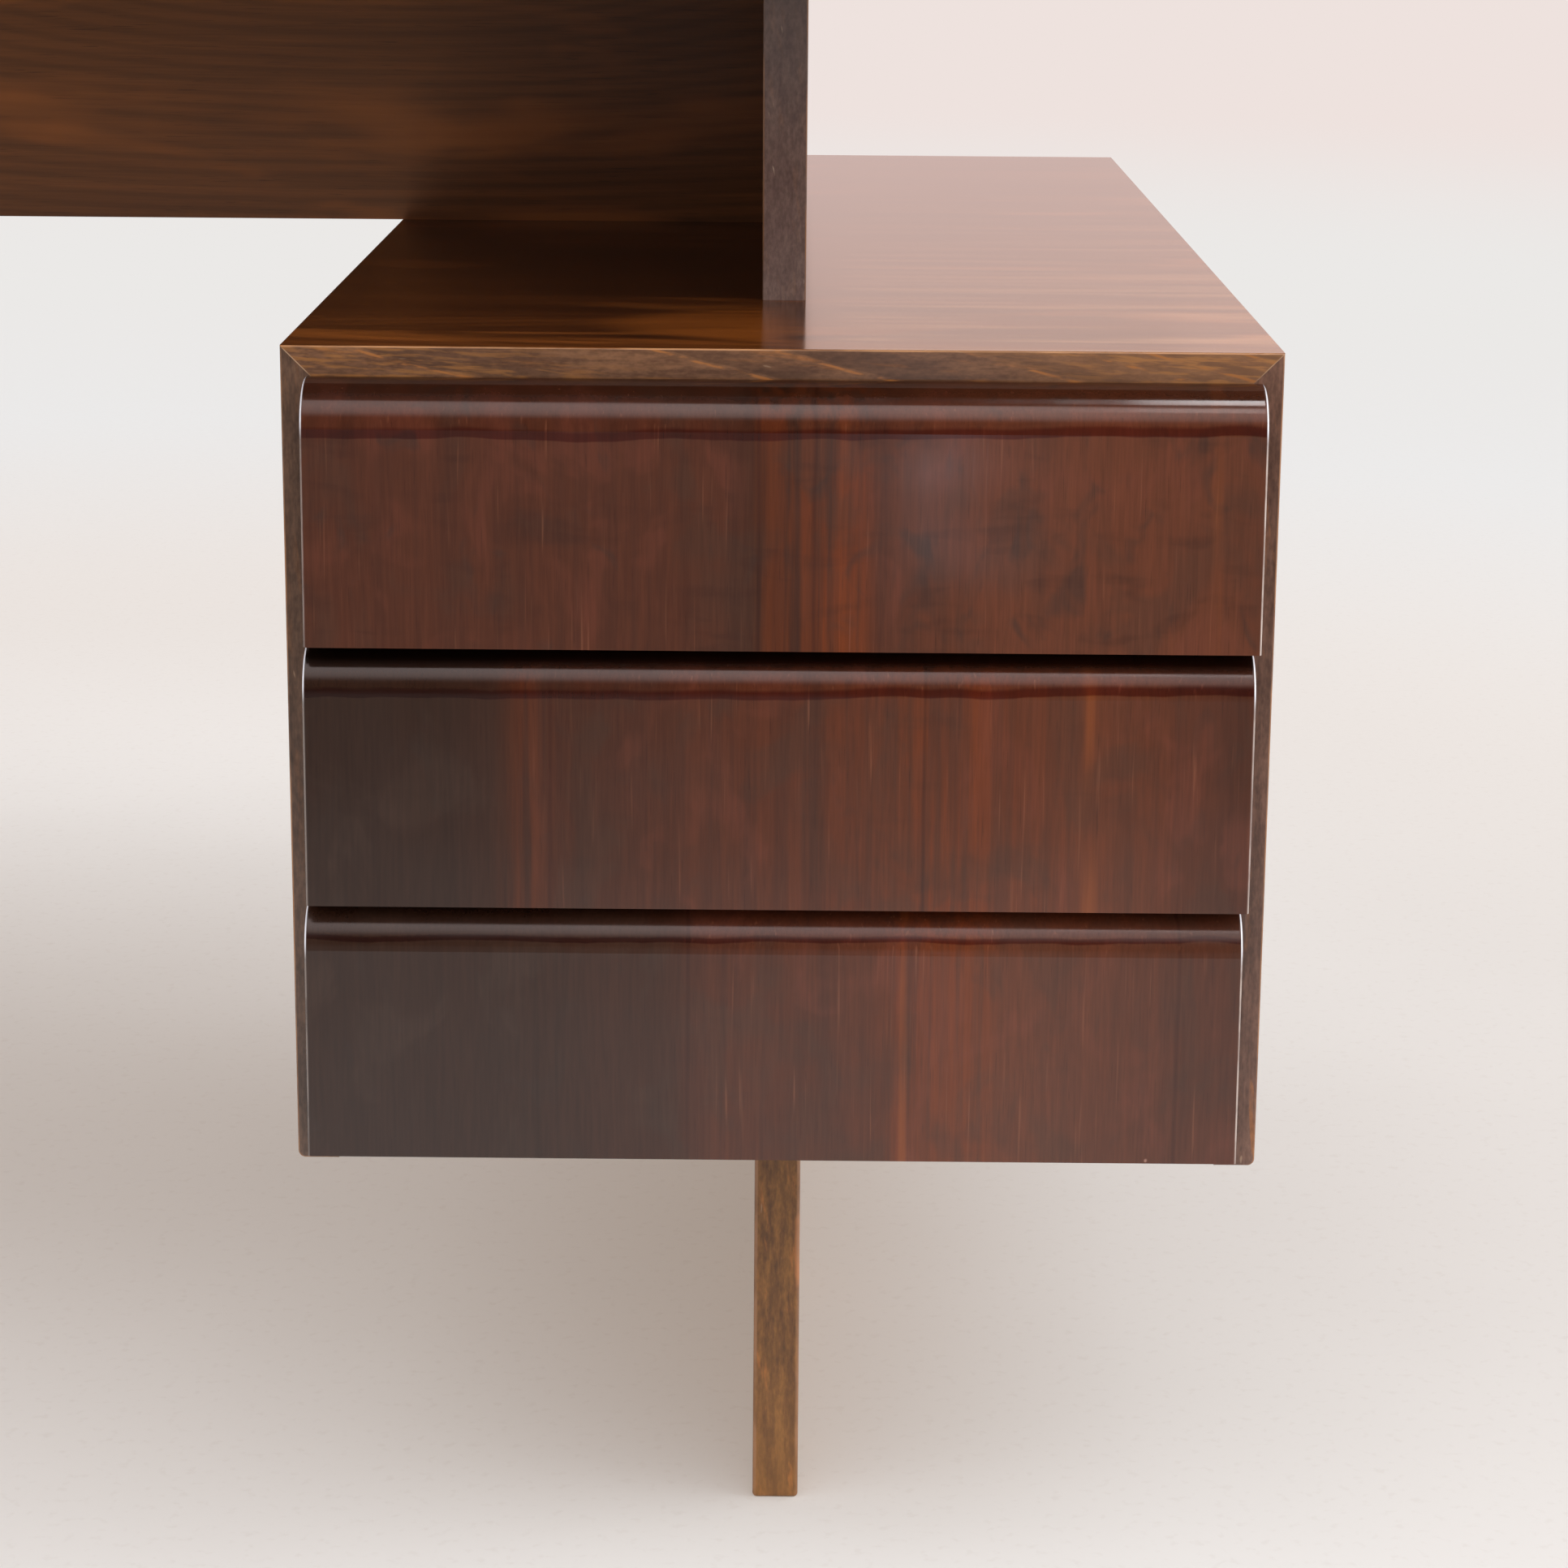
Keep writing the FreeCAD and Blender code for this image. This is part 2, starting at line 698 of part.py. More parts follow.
def make_drawer(number):
    """One drawer: front, two sides, back, bottom panel and the screws of the panel."""
    drawer = f"drawer_{number}"
    back_reach = box_half - S["side_thick"] + S["box_back_housing"]
    back_y = (box_back_end - S["box_back_thick"], box_back_end)
    panel_screws = screws(
        f"{drawer}_panel_screws",
        [
            ((panel_half * share, (back_y[0] + back_y[1]) * HALF, panel_low), "+z")
            for share in PANEL_SCREW_SHARES
        ],
        S["panel_screw_length"],
    )
    back_blank = between(
        f"{drawer}_back_blank",
        (-back_reach, back_reach),
        back_y,
        (panel_top, side_top - S["box_back_drop"]),
    )
    panel_blank = between(
        f"{drawer}_panel_blank",
        (-panel_half, panel_half),
        (front_back_face - S["panel_tongue"], box_back_end),
        (panel_low, panel_top),
    )
    pieces = {
        f"{drawer}_front": make_drawer_front(number),
        f"{drawer}_left_side": make_drawer_side(drawer, "left", -1),
        f"{drawer}_right_side": make_drawer_side(drawer, "right", 1),
        f"{drawer}_back": cut(f"{drawer}_back", back_blank, panel_screws),
        f"{drawer}_bottom": cut(f"{drawer}_bottom", panel_blank, panel_screws),
        f"{drawer}_screws": doc.addObject("Part::Compound", f"{drawer}_screws"),
    }
    pieces[f"{drawer}_screws"].Links = [panel_screws]
    for label, piece in pieces.items():
        set_in_place(piece, number)
        keep(label, piece)


def runner_spans(number):
    """Where the two runners of a drawer lie against the carcase sides."""
    low = drawer_level(number) + runner_low
    start = ped_front + S["runner_setback"]
    y_span = (start, start + S["runner_length"])
    z_span = (low, low + S["runner_height"])
    face_left, face_right = ped_x - ped_inner_half, ped_x + ped_inner_half
    return {
        "left": ((face_left, face_left + S["runner_thick"]), y_span, z_span),
        "right": ((face_right - S["runner_thick"], face_right), y_span, z_span),
    }


def make_runners():
    """Hardwood runners and the screws that hold them to the carcase sides."""
    places, blanks = [], {}
    for number in range(1, DRAWER_COUNT + 1):
        for side, span in runner_spans(number).items():
            label = f"runner_{number}_{side}"
            blanks[label] = between(f"{label}_blank", *span)
            (x_low, x_high), (y_low, _), (z_low, z_high) = span
            head_x, direction = (x_high, "-x") if side == "left" else (x_low, "+x")
            for share in RUNNER_SCREW_SHARES:
                at = y_low + S["runner_length"] * share
                places.append(((head_x, at, (z_low + z_high) * HALF), direction))
    runner_screws = screws("runner_screws", places, S["runner_screw_length"])
    keep("runner_screws", runner_screws)
    for label, blank in blanks.items():
        keep(label, cut(label, blank, runner_screws))
    return runner_screws


def check(items):
    """Stop if any object failed or any sub-part is empty, invalid or not made of solids."""
    for item in doc.Objects:
        if {"Invalid", "Error"} & set(item.State):
            raise RuntimeError(f"{item.Name}: {item.State}")
    for item in items:
        shape = item.Shape
        if shape.isNull() or not shape.isValid() or not shape.Solids:
            raise RuntimeError(f"{item.Label}: no valid solid")


def main():
    """Build every sub-part, check them and write one file for each."""
    spans = cleat_spans()
    cleat_screws = make_cleat_screws(spans)
    plank_dowels, plank_screws = make_plank_fixings()
    apron_dowels = make_apron_dowels()
    make_desktop_lippings()
    make_desktop_panel(cleat_screws)
    make_cleats(spans, cleat_screws)
    make_upper_plank([plank_dowels, plank_screws, apron_dowels, cleat_screws])
    make_lower_leg([plank_dowels, plank_screws])
    make_left_plank([apron_dowels, cleat_screws])
    make_apron([apron_dowels, cleat_screws])
    splines = make_splines()
    bottom = make_pedestal_bottom([plank_dowels, plank_screws])
    back = make_pedestal_back()
    runner_screws = make_runners()
    make_pedestal_top([*splines, back, plank_dowels, plank_screws])
    make_pedestal_sides([*splines, back, bottom, runner_screws])
    for number in range(1, DRAWER_COUNT + 1):
        make_drawer(number)
    doc.recompute()
    check(NODES)
    os.makedirs("parts", exist_ok=True)
    for item in NODES:
        item.Shape.exportStep(f"parts/{item.Label}.step")
        print(f"{item.Label}: {len(item.Shape.Solids)} solids, {item.Shape.Volume / 1000:.2f} cm3")


main()
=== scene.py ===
"""Looks of the writing desk: figured red-brown drawer fronts under gloss lacquer, a brown
stained carcase and planks, pale drawer boxes, on a plain pale floor in soft studio light.

Lengths are in metres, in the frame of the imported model: x to the user's right, y away from the
user, z up, the floor at z = 0. Tones are red, green and blue in sRGB, from 0 to 255. A constant
that goes into a fade holds its start and end, and its values there if they aren't 0 and 1.
"""

import math
from typing import Callable, NamedTuple

import bpy
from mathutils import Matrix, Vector


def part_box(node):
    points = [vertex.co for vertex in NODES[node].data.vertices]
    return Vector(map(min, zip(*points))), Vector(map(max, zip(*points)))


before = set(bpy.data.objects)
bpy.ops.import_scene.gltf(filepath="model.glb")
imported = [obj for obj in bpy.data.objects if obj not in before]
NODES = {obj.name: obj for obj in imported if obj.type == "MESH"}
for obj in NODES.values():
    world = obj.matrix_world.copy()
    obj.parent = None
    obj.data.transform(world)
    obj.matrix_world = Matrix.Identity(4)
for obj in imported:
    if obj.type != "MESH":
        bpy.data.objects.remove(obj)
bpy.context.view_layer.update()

MM = 0.001

# The photograph's frame and the camera that was fitted to it. The camera's place is measured
# from the middle of the lower front edge of the pedestal.
PHOTO_SIDE = 1932
FOCAL_PIXELS = 4445
CENTRE_ROW = 778
SENSOR = 36.0
CAMERA_RIGHT = 6.7 * MM
CAMERA_AHEAD = 1423.2 * MM
CAMERA_RISE = 550.8 * MM
CAMERA_YAW = -0.00359
CAMERA_PITCH = 0.22335
CAMERA_ROLL = -0.00769


# Colours, patterns, and short calls that build a node tree


def srgb(red, green, blue):
    """A colour given from 0 to 255, as linear light with full opacity."""
    def linear(value):
        share = value / 255
        return share / 12.92 if share <= 0.04045 else ((share + 0.055) / 1.055) ** 2.4
    return linear(red), linear(green), linear(blue), 1.0


def darker(colour, share):
    """A share of a linear colour, still opaque."""
    return tuple(value * share for value in colour[:3]) + (1.0,)


class Pattern(NamedTuple):
    """Noise that is stretched along the grain."""

    along: float  # features a metre along the grain
    across: float  # features a metre across it
    detail: float = 2.0
    rough: float = 0.5
    distort: float = 0.0


class Tree:
    """A node tree with one call for each kind of step. A value is a number, colour or socket."""

    def __init__(self, tree):
        self.nodes = tree.nodes
        self.links = tree.links

    def wire(self, socket, value):
        if isinstance(value, bpy.types.NodeSocket):
            self.links.new(value, socket)
        else:
            socket.default_value = value

    def add(self, kind, *values, **settings):
        node = self.nodes.new(kind)
        for name, value in settings.items():
            setattr(node, name, value)
        for socket, value in zip(node.inputs, values):
            if value is not None:
                self.wire(socket, value)
        return node

    def math(self, operation, *values):
        return self.add("ShaderNodeMath", *values, operation=operation).outputs[0]

    def plus(self, one, other):
        return self.math("ADD", one, other)

    def minus(self, one, other):
        return self.math("SUBTRACT", one, other)

    def times(self, first, *others):
        for other in others:
            first = self.math("MULTIPLY", first, other)
        return first

    def absolute(self, value):
        return self.math("ABSOLUTE", value)

    def distance(self, one, other):
        """How far a point is that lies so far off in two directions."""
        return self.math("SQRT", self.plus(self.times(one, one), self.times(other, other)))

    def fade(self, value, start, end, low=0.0, high=1.0):
        """Rises smoothly from low, where value is start, to high, where it is end."""
        node = self.add(
            "ShaderNodeMapRange", value, start, end, low, high, interpolation_type="SMOOTHSTEP"
        )
        return node.outputs[0]

    def share(self, value, start, end):
        """Rises evenly from 0, where value is start, to 1, where it is end."""
        return self.add("ShaderNodeMapRange", value, start, end, 0.0, 1.0).outputs[0]

    def split(self, vector):
        return self.add("ShaderNodeSeparateXYZ", vector).outputs

    def join(self, x, y, z):
        return self.add("ShaderNodeCombineXYZ", x, y, z).outputs[0]

    def mix(self, share, one, other, blend="MIX"):
        node = self.nodes.new("ShaderNodeMix")
        node.data_type = "RGBA"
        node.blend_type = blend
        self.wire(node.inputs["Factor"], share)
        self.wire(node.inputs[6], one)
        self.wire(node.inputs[7], other)
        return node.outputs[2]

    def lay(self, colour, over, *masks):
        """A colour with another laid over it, by the product of the masks."""
        return self.mix(self.times(*masks), colour, over)

    def tint(self, colour, tint):
        """A colour times another."""
        return self.mix(1.0, colour, tint, "MULTIPLY")

    def shade(self, colour, value):
        """A colour times a value."""
        return self.tint(colour, self.join(value, value, value))

    def noise(self, place, detail=2.0, rough=0.5, distort=0.0):
        """Noise from 0 to 1 about 0.5, with features of about one unit of place."""
        node = self.nodes.new("ShaderNodeTexNoise")
        self.wire(node.inputs["Vector"], place)
        node.inputs["Scale"].default_value = 1.0
        node.inputs["Detail"].default_value = detail
        node.inputs["Roughness"].default_value = rough
        node.inputs["Distortion"].default_value = distort
        return node.outputs["Fac"]

    def swing(self, noise, reach):
        """Noise moved to lie about 0 and scaled to a whole reach."""
        return self.times(self.minus(noise, 0.5), reach)

    def profile(self, value, stops):
        """A smooth curve through (place, height) stops, both from 0 to 1."""
        ramp = self.nodes.new("ShaderNodeValToRGB")
        ramp.color_ramp.interpolation = "EASE"
        elements = ramp.color_ramp.elements
        while len(elements) < len(stops):
            elements.new(1.0)
        for element, (place, height) in zip(elements, stops):
            element.position = place
            element.color = (height, height, height, 1.0)
        self.wire(ramp.inputs[0], value)
        return ramp.outputs[0]


# Where a surface counts as facing the user or up, by that part of its normal, and where as a
# rounded edge, by the products of the normal's parts
FACING_USER = 0.55, 0.85
FACING_UP = 0.5, 0.8
ROUNDED = 0.10, 0.35


class Finish(Tree):
    """A material: its place, normal and shader, and the bumps laid over each other."""

    def __init__(self, name):
        self.material = bpy.data.materials.new(name)
        self.material.use_nodes = True
        super().__init__(self.material.node_tree)
        self.shader = self.nodes["Principled BSDF"]
        where = self.nodes.new("ShaderNodeTexCoord")
        self.x, self.y, self.z = self.split(where.outputs["Object"])
        self.nx, self.ny, self.nz = self.split(where.outputs["Normal"])
        self.bumped = None

    def along(self, axis, shift):
        """Place as (along the grain, across, across), moved to its own part of the pattern."""
        order = {
            "x": (self.x, self.y, self.z),
            "y": (self.y, self.x, self.z),
            "z": (self.z, self.x, self.y),
        }[axis]
        return [self.plus(value, shift) for value in order]

    def pattern(self, place, kind):
        """A pattern over a place that is given as (along the grain, across, across)."""
        u, v, w = place
        across = kind.across
        spot = self.join(self.times(u, kind.along), self.times(v, across), self.times(w, across))
        return self.noise(spot, kind.detail, kind.rough, kind.distort)

    def sheet(self, u, v, kind, layer):
        """A pattern over a flat face, each layer with noise of its own."""
        spot = self.join(self.times(u, kind.along), self.times(v, kind.across), layer)
        return self.noise(spot, kind.detail, kind.rough, kind.distort)

    def bump(self, height, depth):
        """Lay a relief of the given depth over those before it."""
        node = self.nodes.new("ShaderNodeBump")
        node.inputs["Strength"].default_value = 1.0
        node.inputs["Distance"].default_value = depth
        self.wire(node.inputs["Height"], height)
        if self.bumped is not None:
            self.wire(node.inputs["Normal"], self.bumped)
        self.bumped = node.outputs["Normal"]

    def facing_user(self):
        return self.fade(self.times(self.ny, -1.0), *FACING_USER)

    def arris(self, only_upright):
        """1 on the rounded edges between faces, 0 on the faces."""
        bend = self.absolute(self.times(self.nx, self.ny))
        if not only_upright:
            for side in (self.nx, self.ny):
                bend = self.plus(bend, self.absolute(self.times(side, self.nz)))
        return self.fade(bend, *ROUNDED)

    def finish(self, colour, roughness):
        self.wire(self.shader.inputs["Base Color"], colour)
        self.wire(self.shader.inputs["Roughness"], roughness)
        if self.bumped is not None:
            self.wire(self.shader.inputs["Normal"], self.bumped)
        return self.material


# The grain of all wood

# Most noise lies in this range
NOISE_SPAN = 0.30, 0.70
GRAIN_SWAY = Pattern(1.6, 7.0)
GRAIN_PATTERNS = {
    "bands": Pattern(0.9, 38.0, 3.0, 0.55),
    "streaks": Pattern(2.4, 170.0, 4.0, 0.6),
    "fibres": Pattern(12.0, 1100.0, 2.0, 0.6),
    "pores": Pattern(45.0, 1900.0, 1.0),
}
BOARD_WARP = 12 * MM
# How far from the middle of the noise a band is whole, how much darker and lighter streaks and
# fibres make the wood, and how dark its pores are
BAND_REACH = 0.18
STREAK_DARKER = 0.22
STREAK_LIGHTER = 0.20
FIBRE_SHADE = 0.12
PORE_FADE = 0.66, 0.74, 0.0, 0.55
PORE_SHARE = 0.35


def grain_parts(look, axis, shift, warp=BOARD_WARP):
    """The bent place and the patterns of a piece whose grain runs along an axis."""
    place = look.along(axis, shift)
    u, v, w = place
    sway = look.swing(look.pattern(place, GRAIN_SWAY), warp)
    bent = u, look.plus(v, sway), look.plus(w, sway)
    patterns = {name: look.pattern(bent, kind) for name, kind in GRAIN_PATTERNS.items()}
    return {"place": bent, **patterns}


def grained(look, parts, dark, light, contrast=1.0):
    """The plain colour of a board: bands between two colours, streaks, fibres and pores."""
    reach = BAND_REACH / contrast
    colour = look.mix(look.fade(parts["bands"], 0.5 - reach, 0.5 + reach), dark, light)
    streak_values = 1.0 - STREAK_DARKER * contrast, 1.0 + STREAK_LIGHTER * contrast
    fibre_values = 1.0 - FIBRE_SHADE * contrast, 1.0 + FIBRE_SHADE * contrast
    streaks = look.fade(parts["streaks"], *NOISE_SPAN, *streak_values)
    fibres = look.fade(parts["fibres"], *NOISE_SPAN, *fibre_values)
    colour = look.shade(colour, look.times(streaks, fibres))
    return look.lay(colour, darker(dark, PORE_SHARE), look.fade(parts["pores"], *PORE_FADE))


class Rings(NamedTuple):
    """Growth rings cut at a slant, which show as nested arches on the face of a board."""

    u: tuple  # the axis along the arches and their start on it, or None for the desk's middle
    v: tuple  # the axis across them and their middle on it, in the same way
    depth: float  # of the heart of the tree under the face, at the start
    slope: float  # how much nearer the heart comes over a metre
    spacing: float
    strength: float


RING_WANDER = Pattern(4.0, 14.0)
RING_WANDER_REACH = 14 * MM
RING_FADE = -0.4, 1.0


def arches(look, rings):
    """Nested arches that open along u, 0 to 1."""
    sides = {"x": look.x, "y": look.y, "z": look.z}
    u, v = (
        sides[axis] if start is None else look.minus(sides[axis], start)
        for axis, start in (rings.u, rings.v)
    )
    wander = look.sheet(u, v, RING_WANDER, rings.depth)
    low = look.minus(rings.depth, look.times(u, rings.slope))
    low = look.plus(low, look.swing(wander, RING_WANDER_REACH))
    turns = look.times(look.distance(v, low), 2 * math.pi / rings.spacing)
    return look.fade(look.math("SINE", turns), *RING_FADE)


# Drawer fronts


class Front(NamedTuple):
    """What sets one drawer front apart. Places are shares of its width, from the left."""

    tones: tuple  # (place, tone), from the darkest leaf of veneer, 0, to the lightest, 1
    glow: tuple  # (place, share of the orange heartwood that shows)
    seams: tuple  # places of the joints between the leaves
    stripe: tuple  # place and half width of a light stripe
    figure: float  # strength of blots and curl
    stain: tuple  # how far the nose's stain reaches down, at the left and right end
    line: float  # height of the dark line at the stain's border
    nose_shade_share: float  # the share of the colour left under the painted shade on top of the nose
    nose_shade_start: float  # where that painted shade starts, by the upward part of the normal
    gloss: float  # roughness
    right_highlight: float  # how bright the painted highlight on the right end is


FRONTS = {
    1: Front(
        tones=(
            (0.0, 0.45), (0.12, 0.56), (0.3, 0.5), (0.42, 0.54), (0.48, 0.18),
            (0.57, 0.42), (0.64, 0.78), (0.8, 1.0), (1.0, 0.92),
        ),
        glow=(
            (0.0, 0.06), (0.46, 0.1), (0.48, 0.5), (0.53, 0.6),
            (0.55, 1.0), (0.58, 0.7), (0.61, 0.1), (1.0, 0.1),
        ),
        seams=(0.471, 0.531), stripe=(0.948, 0.010), figure=1.0,
        stain=(21.6 * MM, 18.2 * MM), line=5.0 * MM,
        nose_shade_share=0.42, nose_shade_start=0.45, gloss=0.10, right_highlight=0.78,
    ),
    2: Front(
        tones=(
            (0.0, 0.02), (0.14, 0.08), (0.2, 0.16), (0.27, 0.32),
            (0.45, 0.44), (0.62, 0.7), (0.84, 0.84), (1.0, 0.56),
        ),
        glow=(
            (0.0, 0.0), (0.2, 0.0), (0.23, 0.35), (0.28, 0.05),
            (0.6, 0.3), (0.68, 0.75), (0.76, 0.3), (1.0, 0.05),
        ),
        seams=(0.262, 0.655), stripe=(0.83, 0.012), figure=0.35,
        stain=(19.2 * MM, 15.9 * MM), line=4.6 * MM,
        nose_shade_share=0.12, nose_shade_start=0.45, gloss=0.12, right_highlight=0.55,
    ),
    3: Front(
        tones=(
            (0.0, 0.08), (0.2, 0.1), (0.38, 0.22), (0.43, 0.42),
            (0.6, 0.62), (0.75, 0.86), (0.86, 0.76), (1.0, 0.6),
        ),
        glow=(
            (0.0, 0.0), (0.4, 0.02), (0.46, 0.15), (0.6, 0.15),
            (0.65, 0.6), (0.71, 0.65), (0.76, 0.1), (1.0, 0.05),
        ),
        seams=(0.408, 0.93), stripe=(0.64, 0.006), figure=0.3,
        stain=(13.6 * MM, 12.4 * MM), line=2.8 * MM,
        nose_shade_share=0.8, nose_shade_start=0.75, gloss=0.16, right_highlight=0.72,
    ),
}

# Each front's veneer is taken this far along from the one before
VENEER_SHIFT = 3.1
VENEER_WARP = 4 * MM
LEAF_SWAY = 0.03
VENEER_DARK = srgb(47, 30, 21)
VENEER_MIDDLE = srgb(74, 41, 28)
VENEER_LIGHT = srgb(95, 53, 35)
LACQUER_SWELL = Pattern(8.0, 11.0, 1.0)
LACQUER_SWELL_DEPTH = 0.9 * MM
LACQUER_FIBRE_DEPTH = 0.004 * MM
GLOSS_RANGE = 0.05


def front_veneer(number):
    """Upright red-brown veneer under gloss lacquer, each front with its own leaves."""
    low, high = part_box(f"drawer_{number}_front")
    front = FRONTS[number]
    look = Finish(f"front_veneer_{number}")
    parts = grain_parts(look, "z", VENEER_SHIFT * number, VENEER_WARP)
    share = look.plus(look.share(look.x, low.x, high.x), look.swing(parts["bands"], LEAF_SWAY))
    tone = look.profile(share, front.tones)
    colour = look.mix(look.fade(tone, 0.0, 0.5), VENEER_DARK, VENEER_MIDDLE)
    colour = look.mix(look.fade(tone, 0.5, 1.0), colour, VENEER_LIGHT)
    colour = front_figure(look, parts, colour, tone, look.profile(share, front.glow), front.figure)
    colour = front_lines(look, parts, colour, share, front)
    colour = nose_shade_and_stain(look, colour, share, high.z, number)
    colour = lip_chips(look, parts, colour, share, low.z)
    colour = painted_end_highlights(look, parts, colour, high.z, front.right_highlight)
    look.bump(look.sheet(look.x, look.z, LACQUER_SWELL, float(number)), LACQUER_SWELL_DEPTH)
    look.bump(parts["fibres"], LACQUER_FIBRE_DEPTH)
    rough = look.fade(parts["bands"], *NOISE_SPAN, front.gloss, front.gloss + GLOSS_RANGE)
    return look.finish(colour, rough)


HEARTWOOD = srgb(118, 53, 17)
HEARTWOOD_FADE = 0.30, 0.62
HEARTWOOD_SHARE = 0.75
PATCHES = Pattern(20.0, 30.0, 3.0, 0.55, 0.6)
DULL_PATCH = srgb(64, 46, 36)
DULL_FADE = 0.50, 0.66, 0.0, 0.34
WARM_PATCH = srgb(116, 62, 46)
WARM_FADE = 0.48, 0.34, 0.0, 0.22
# Veneer lighter than this also has warm patches and bright lines
LIT_FADE = 0.15, 0.5
BLOTS = Pattern(42.0, 64.0, 2.0, 0.5, 0.8)
BLOT = srgb(50, 41, 36)
BLOT_FADE = 0.56, 0.76, 0.0
BLOT_SHARE = 0.5
CURL = Pattern(105.0, 26.0, 2.0, 0.5, 0.5)
CURL_BAR = srgb(54, 30, 22)
CURL_FADE = 0.50, 0.70
CURL_PATCH_FADE = 0.42, 0.6
CURL_SHARE = 0.34
BRIGHT_LINES = Pattern(14.0, 620.0, 1.0)
BRIGHT_LINE = srgb(142, 90, 64)
BRIGHT_LINE_FADE = 0.64, 0.84, 0.0, 0.3
DASHES = Pattern(34.0, 760.0, 2.0, 0.6)
VENEER_STREAK_FADE = 0.28, 0.72, 0.94, 1.06
VENEER_DASH_FADE = 0.28, 0.72, 0.91, 1.09
VENEER_PORE = srgb(40, 22, 17)
VENEER_PORE_FADE = 0.66, 0.76, 0.0, 0.3


def front_figure(look, parts, colour, tone, glow, strength):
    """Lay orange heartwood, mottled patches, curl, fine streaks and pores over the veneer."""
    place = parts["place"]
    orange = look.fade(parts["streaks"], *HEARTWOOD_FADE)
    colour = look.lay(colour, HEARTWOOD, orange, look.times(glow, HEARTWOOD_SHARE))
    patches = look.pattern(place, PATCHES)
    colour = look.lay(colour, DULL_PATCH, look.fade(patches, *DULL_FADE))
    lit = look.fade(tone, *LIT_FADE)
    colour = look.lay(colour, WARM_PATCH, look.fade(patches, *WARM_FADE), lit)
    blots = look.fade(look.pattern(place, BLOTS), *BLOT_FADE, BLOT_SHARE * strength)
    colour = look.lay(colour, BLOT, blots)
    bars = look.fade(look.pattern(place, CURL), *CURL_FADE)
    curled = look.fade(patches, *CURL_PATCH_FADE)
    colour = look.lay(colour, CURL_BAR, bars, curled, CURL_SHARE * strength)
    lines = look.fade(look.pattern(place, BRIGHT_LINES), *BRIGHT_LINE_FADE)
    colour = look.lay(colour, BRIGHT_LINE, lines, lit)
    dashes = look.fade(look.pattern(place, DASHES), *VENEER_DASH_FADE)
    streaks = look.fade(parts["streaks"], *VENEER_STREAK_FADE)
    colour = look.shade(colour, look.times(streaks, dashes))
    return look.lay(colour, VENEER_PORE, look.fade(parts["pores"], *VENEER_PORE_FADE))


SEAM = srgb(48, 24, 17)
SEAM_FADE = 0.0035, 0.0005
SEAM_SHARE = 0.4
STRIPE = srgb(132, 70, 34)
STRIPE_CORE = 0.4
STRIPE_BREAKS = Pattern(9.0, 60.0)
STRIPE_BREAK_FADE = 0.35, 0.6
STRIPE_SHARE = 0.6


def front_lines(look, parts, colour, share, front):
    """Dark joints between the leaves of veneer, and a light stripe that comes and goes."""
    for seam in front.seams:
        line = look.fade(look.absolute(look.minus(share, seam)), *SEAM_FADE)
        colour = look.lay(colour, SEAM, line, SEAM_SHARE)
    middle, width = front.stripe
    line = look.fade(look.absolute(look.minus(share, middle)), width, width * STRIPE_CORE)
    shown = look.fade(look.pattern(parts["place"], STRIPE_BREAKS), *STRIPE_BREAK_FADE)
    return look.lay(colour, STRIPE, line, shown, STRIPE_SHARE)


# How far the normal turns up from where the painted shade on the nose's top starts to where it is
# whole
NOSE_TURN = 0.35
BORDER_WAVES = 24.0
BORDER_WAVE_REACH = 6 * MM
# Where the stain's depth changes from that of the left end to that of the right
STAIN_SLANT = 0.3, 1.0
STAIN_FADE = -0.3 * MM, 0.5 * MM
STAIN_TINT = (0.92, 0.83, 0.80, 1.0)
LINE_TINT = (0.62, 0.40, 0.42, 1.0)
LINE_CORE = 0.6


def nose_shade_and_stain(look, colour, share, top, number):
    """Painted shade that darkens the top of the nose, and a stain that ends below in a wavy dark
    line.
    """
    front = FRONTS[number]
    start, end = front.nose_shade_start, front.nose_shade_start + NOSE_TURN
    # Painted shade: the top of the nose, which faces up into the dark gap under the drawer above,
    # is darkened
    colour = look.shade(colour, look.fade(look.nz, start, end, 1.0, front.nose_shade_share))
    wave = look.noise(look.join(look.times(look.x, BORDER_WAVES), float(number), 0.0))
    depth = look.fade(share, *STAIN_SLANT, *front.stain)
    border = look.plus(look.minus(top, depth), look.swing(wave, BORDER_WAVE_REACH))
    above = look.minus(look.z, border)
    stained = look.fade(above, *STAIN_FADE)
    colour = look.lay(colour, look.tint(colour, STAIN_TINT), stained)
    lined = look.fade(above, front.line, LINE_CORE * front.line)
    return look.lay(colour, look.tint(colour, LINE_TINT), stained, lined)


CHIPS = Pattern(110.0, 110.0)
CHIP = srgb(170, 128, 112)
CHIP_FADE = 0.70, 0.74
CHIP_TOP = 4 * MM
CHIP_WHOLE = 1 * MM
CHIP_PLACES = 0.80, 0.86
CHIP_SHARE = 0.8


def lip_chips(look, parts, colour, share, bottom):
    """Pale chips in the lower edge of a front, towards its right end."""
    chips = look.fade(look.pattern(parts["place"], CHIPS), *CHIP_FADE)
    low = look.fade(look.z, bottom + CHIP_TOP, bottom + CHIP_WHOLE)
    return look.lay(colour, CHIP, chips, low, look.fade(share, *CHIP_PLACES), CHIP_SHARE)


# The rounded end lies where the normal has turned sideways, but not yet to the side face
END_TURNED = 0.30, 0.60
END_BEYOND = 0.97, 0.90
END_BREAKS = Pattern(60.0, 60.0, 3.0)
END_BREAK_FADE = 0.34, 0.56, 0.5, 1.0
END_SIDE_CHANGE = -0.1, 0.1
# Strengths of the painted highlight at the left end and on the nose, how far down the nose it
# reaches, and its tones
LEFT_HIGHLIGHT = 0.30
NOSE_HIGHLIGHT = 0.95
NOSE_REACH = 26 * MM
NOSE_WHOLE = 14 * MM
END_HIGHLIGHT = srgb(204, 186, 174)
NOSE_END_HIGHLIGHT = srgb(226, 226, 232)


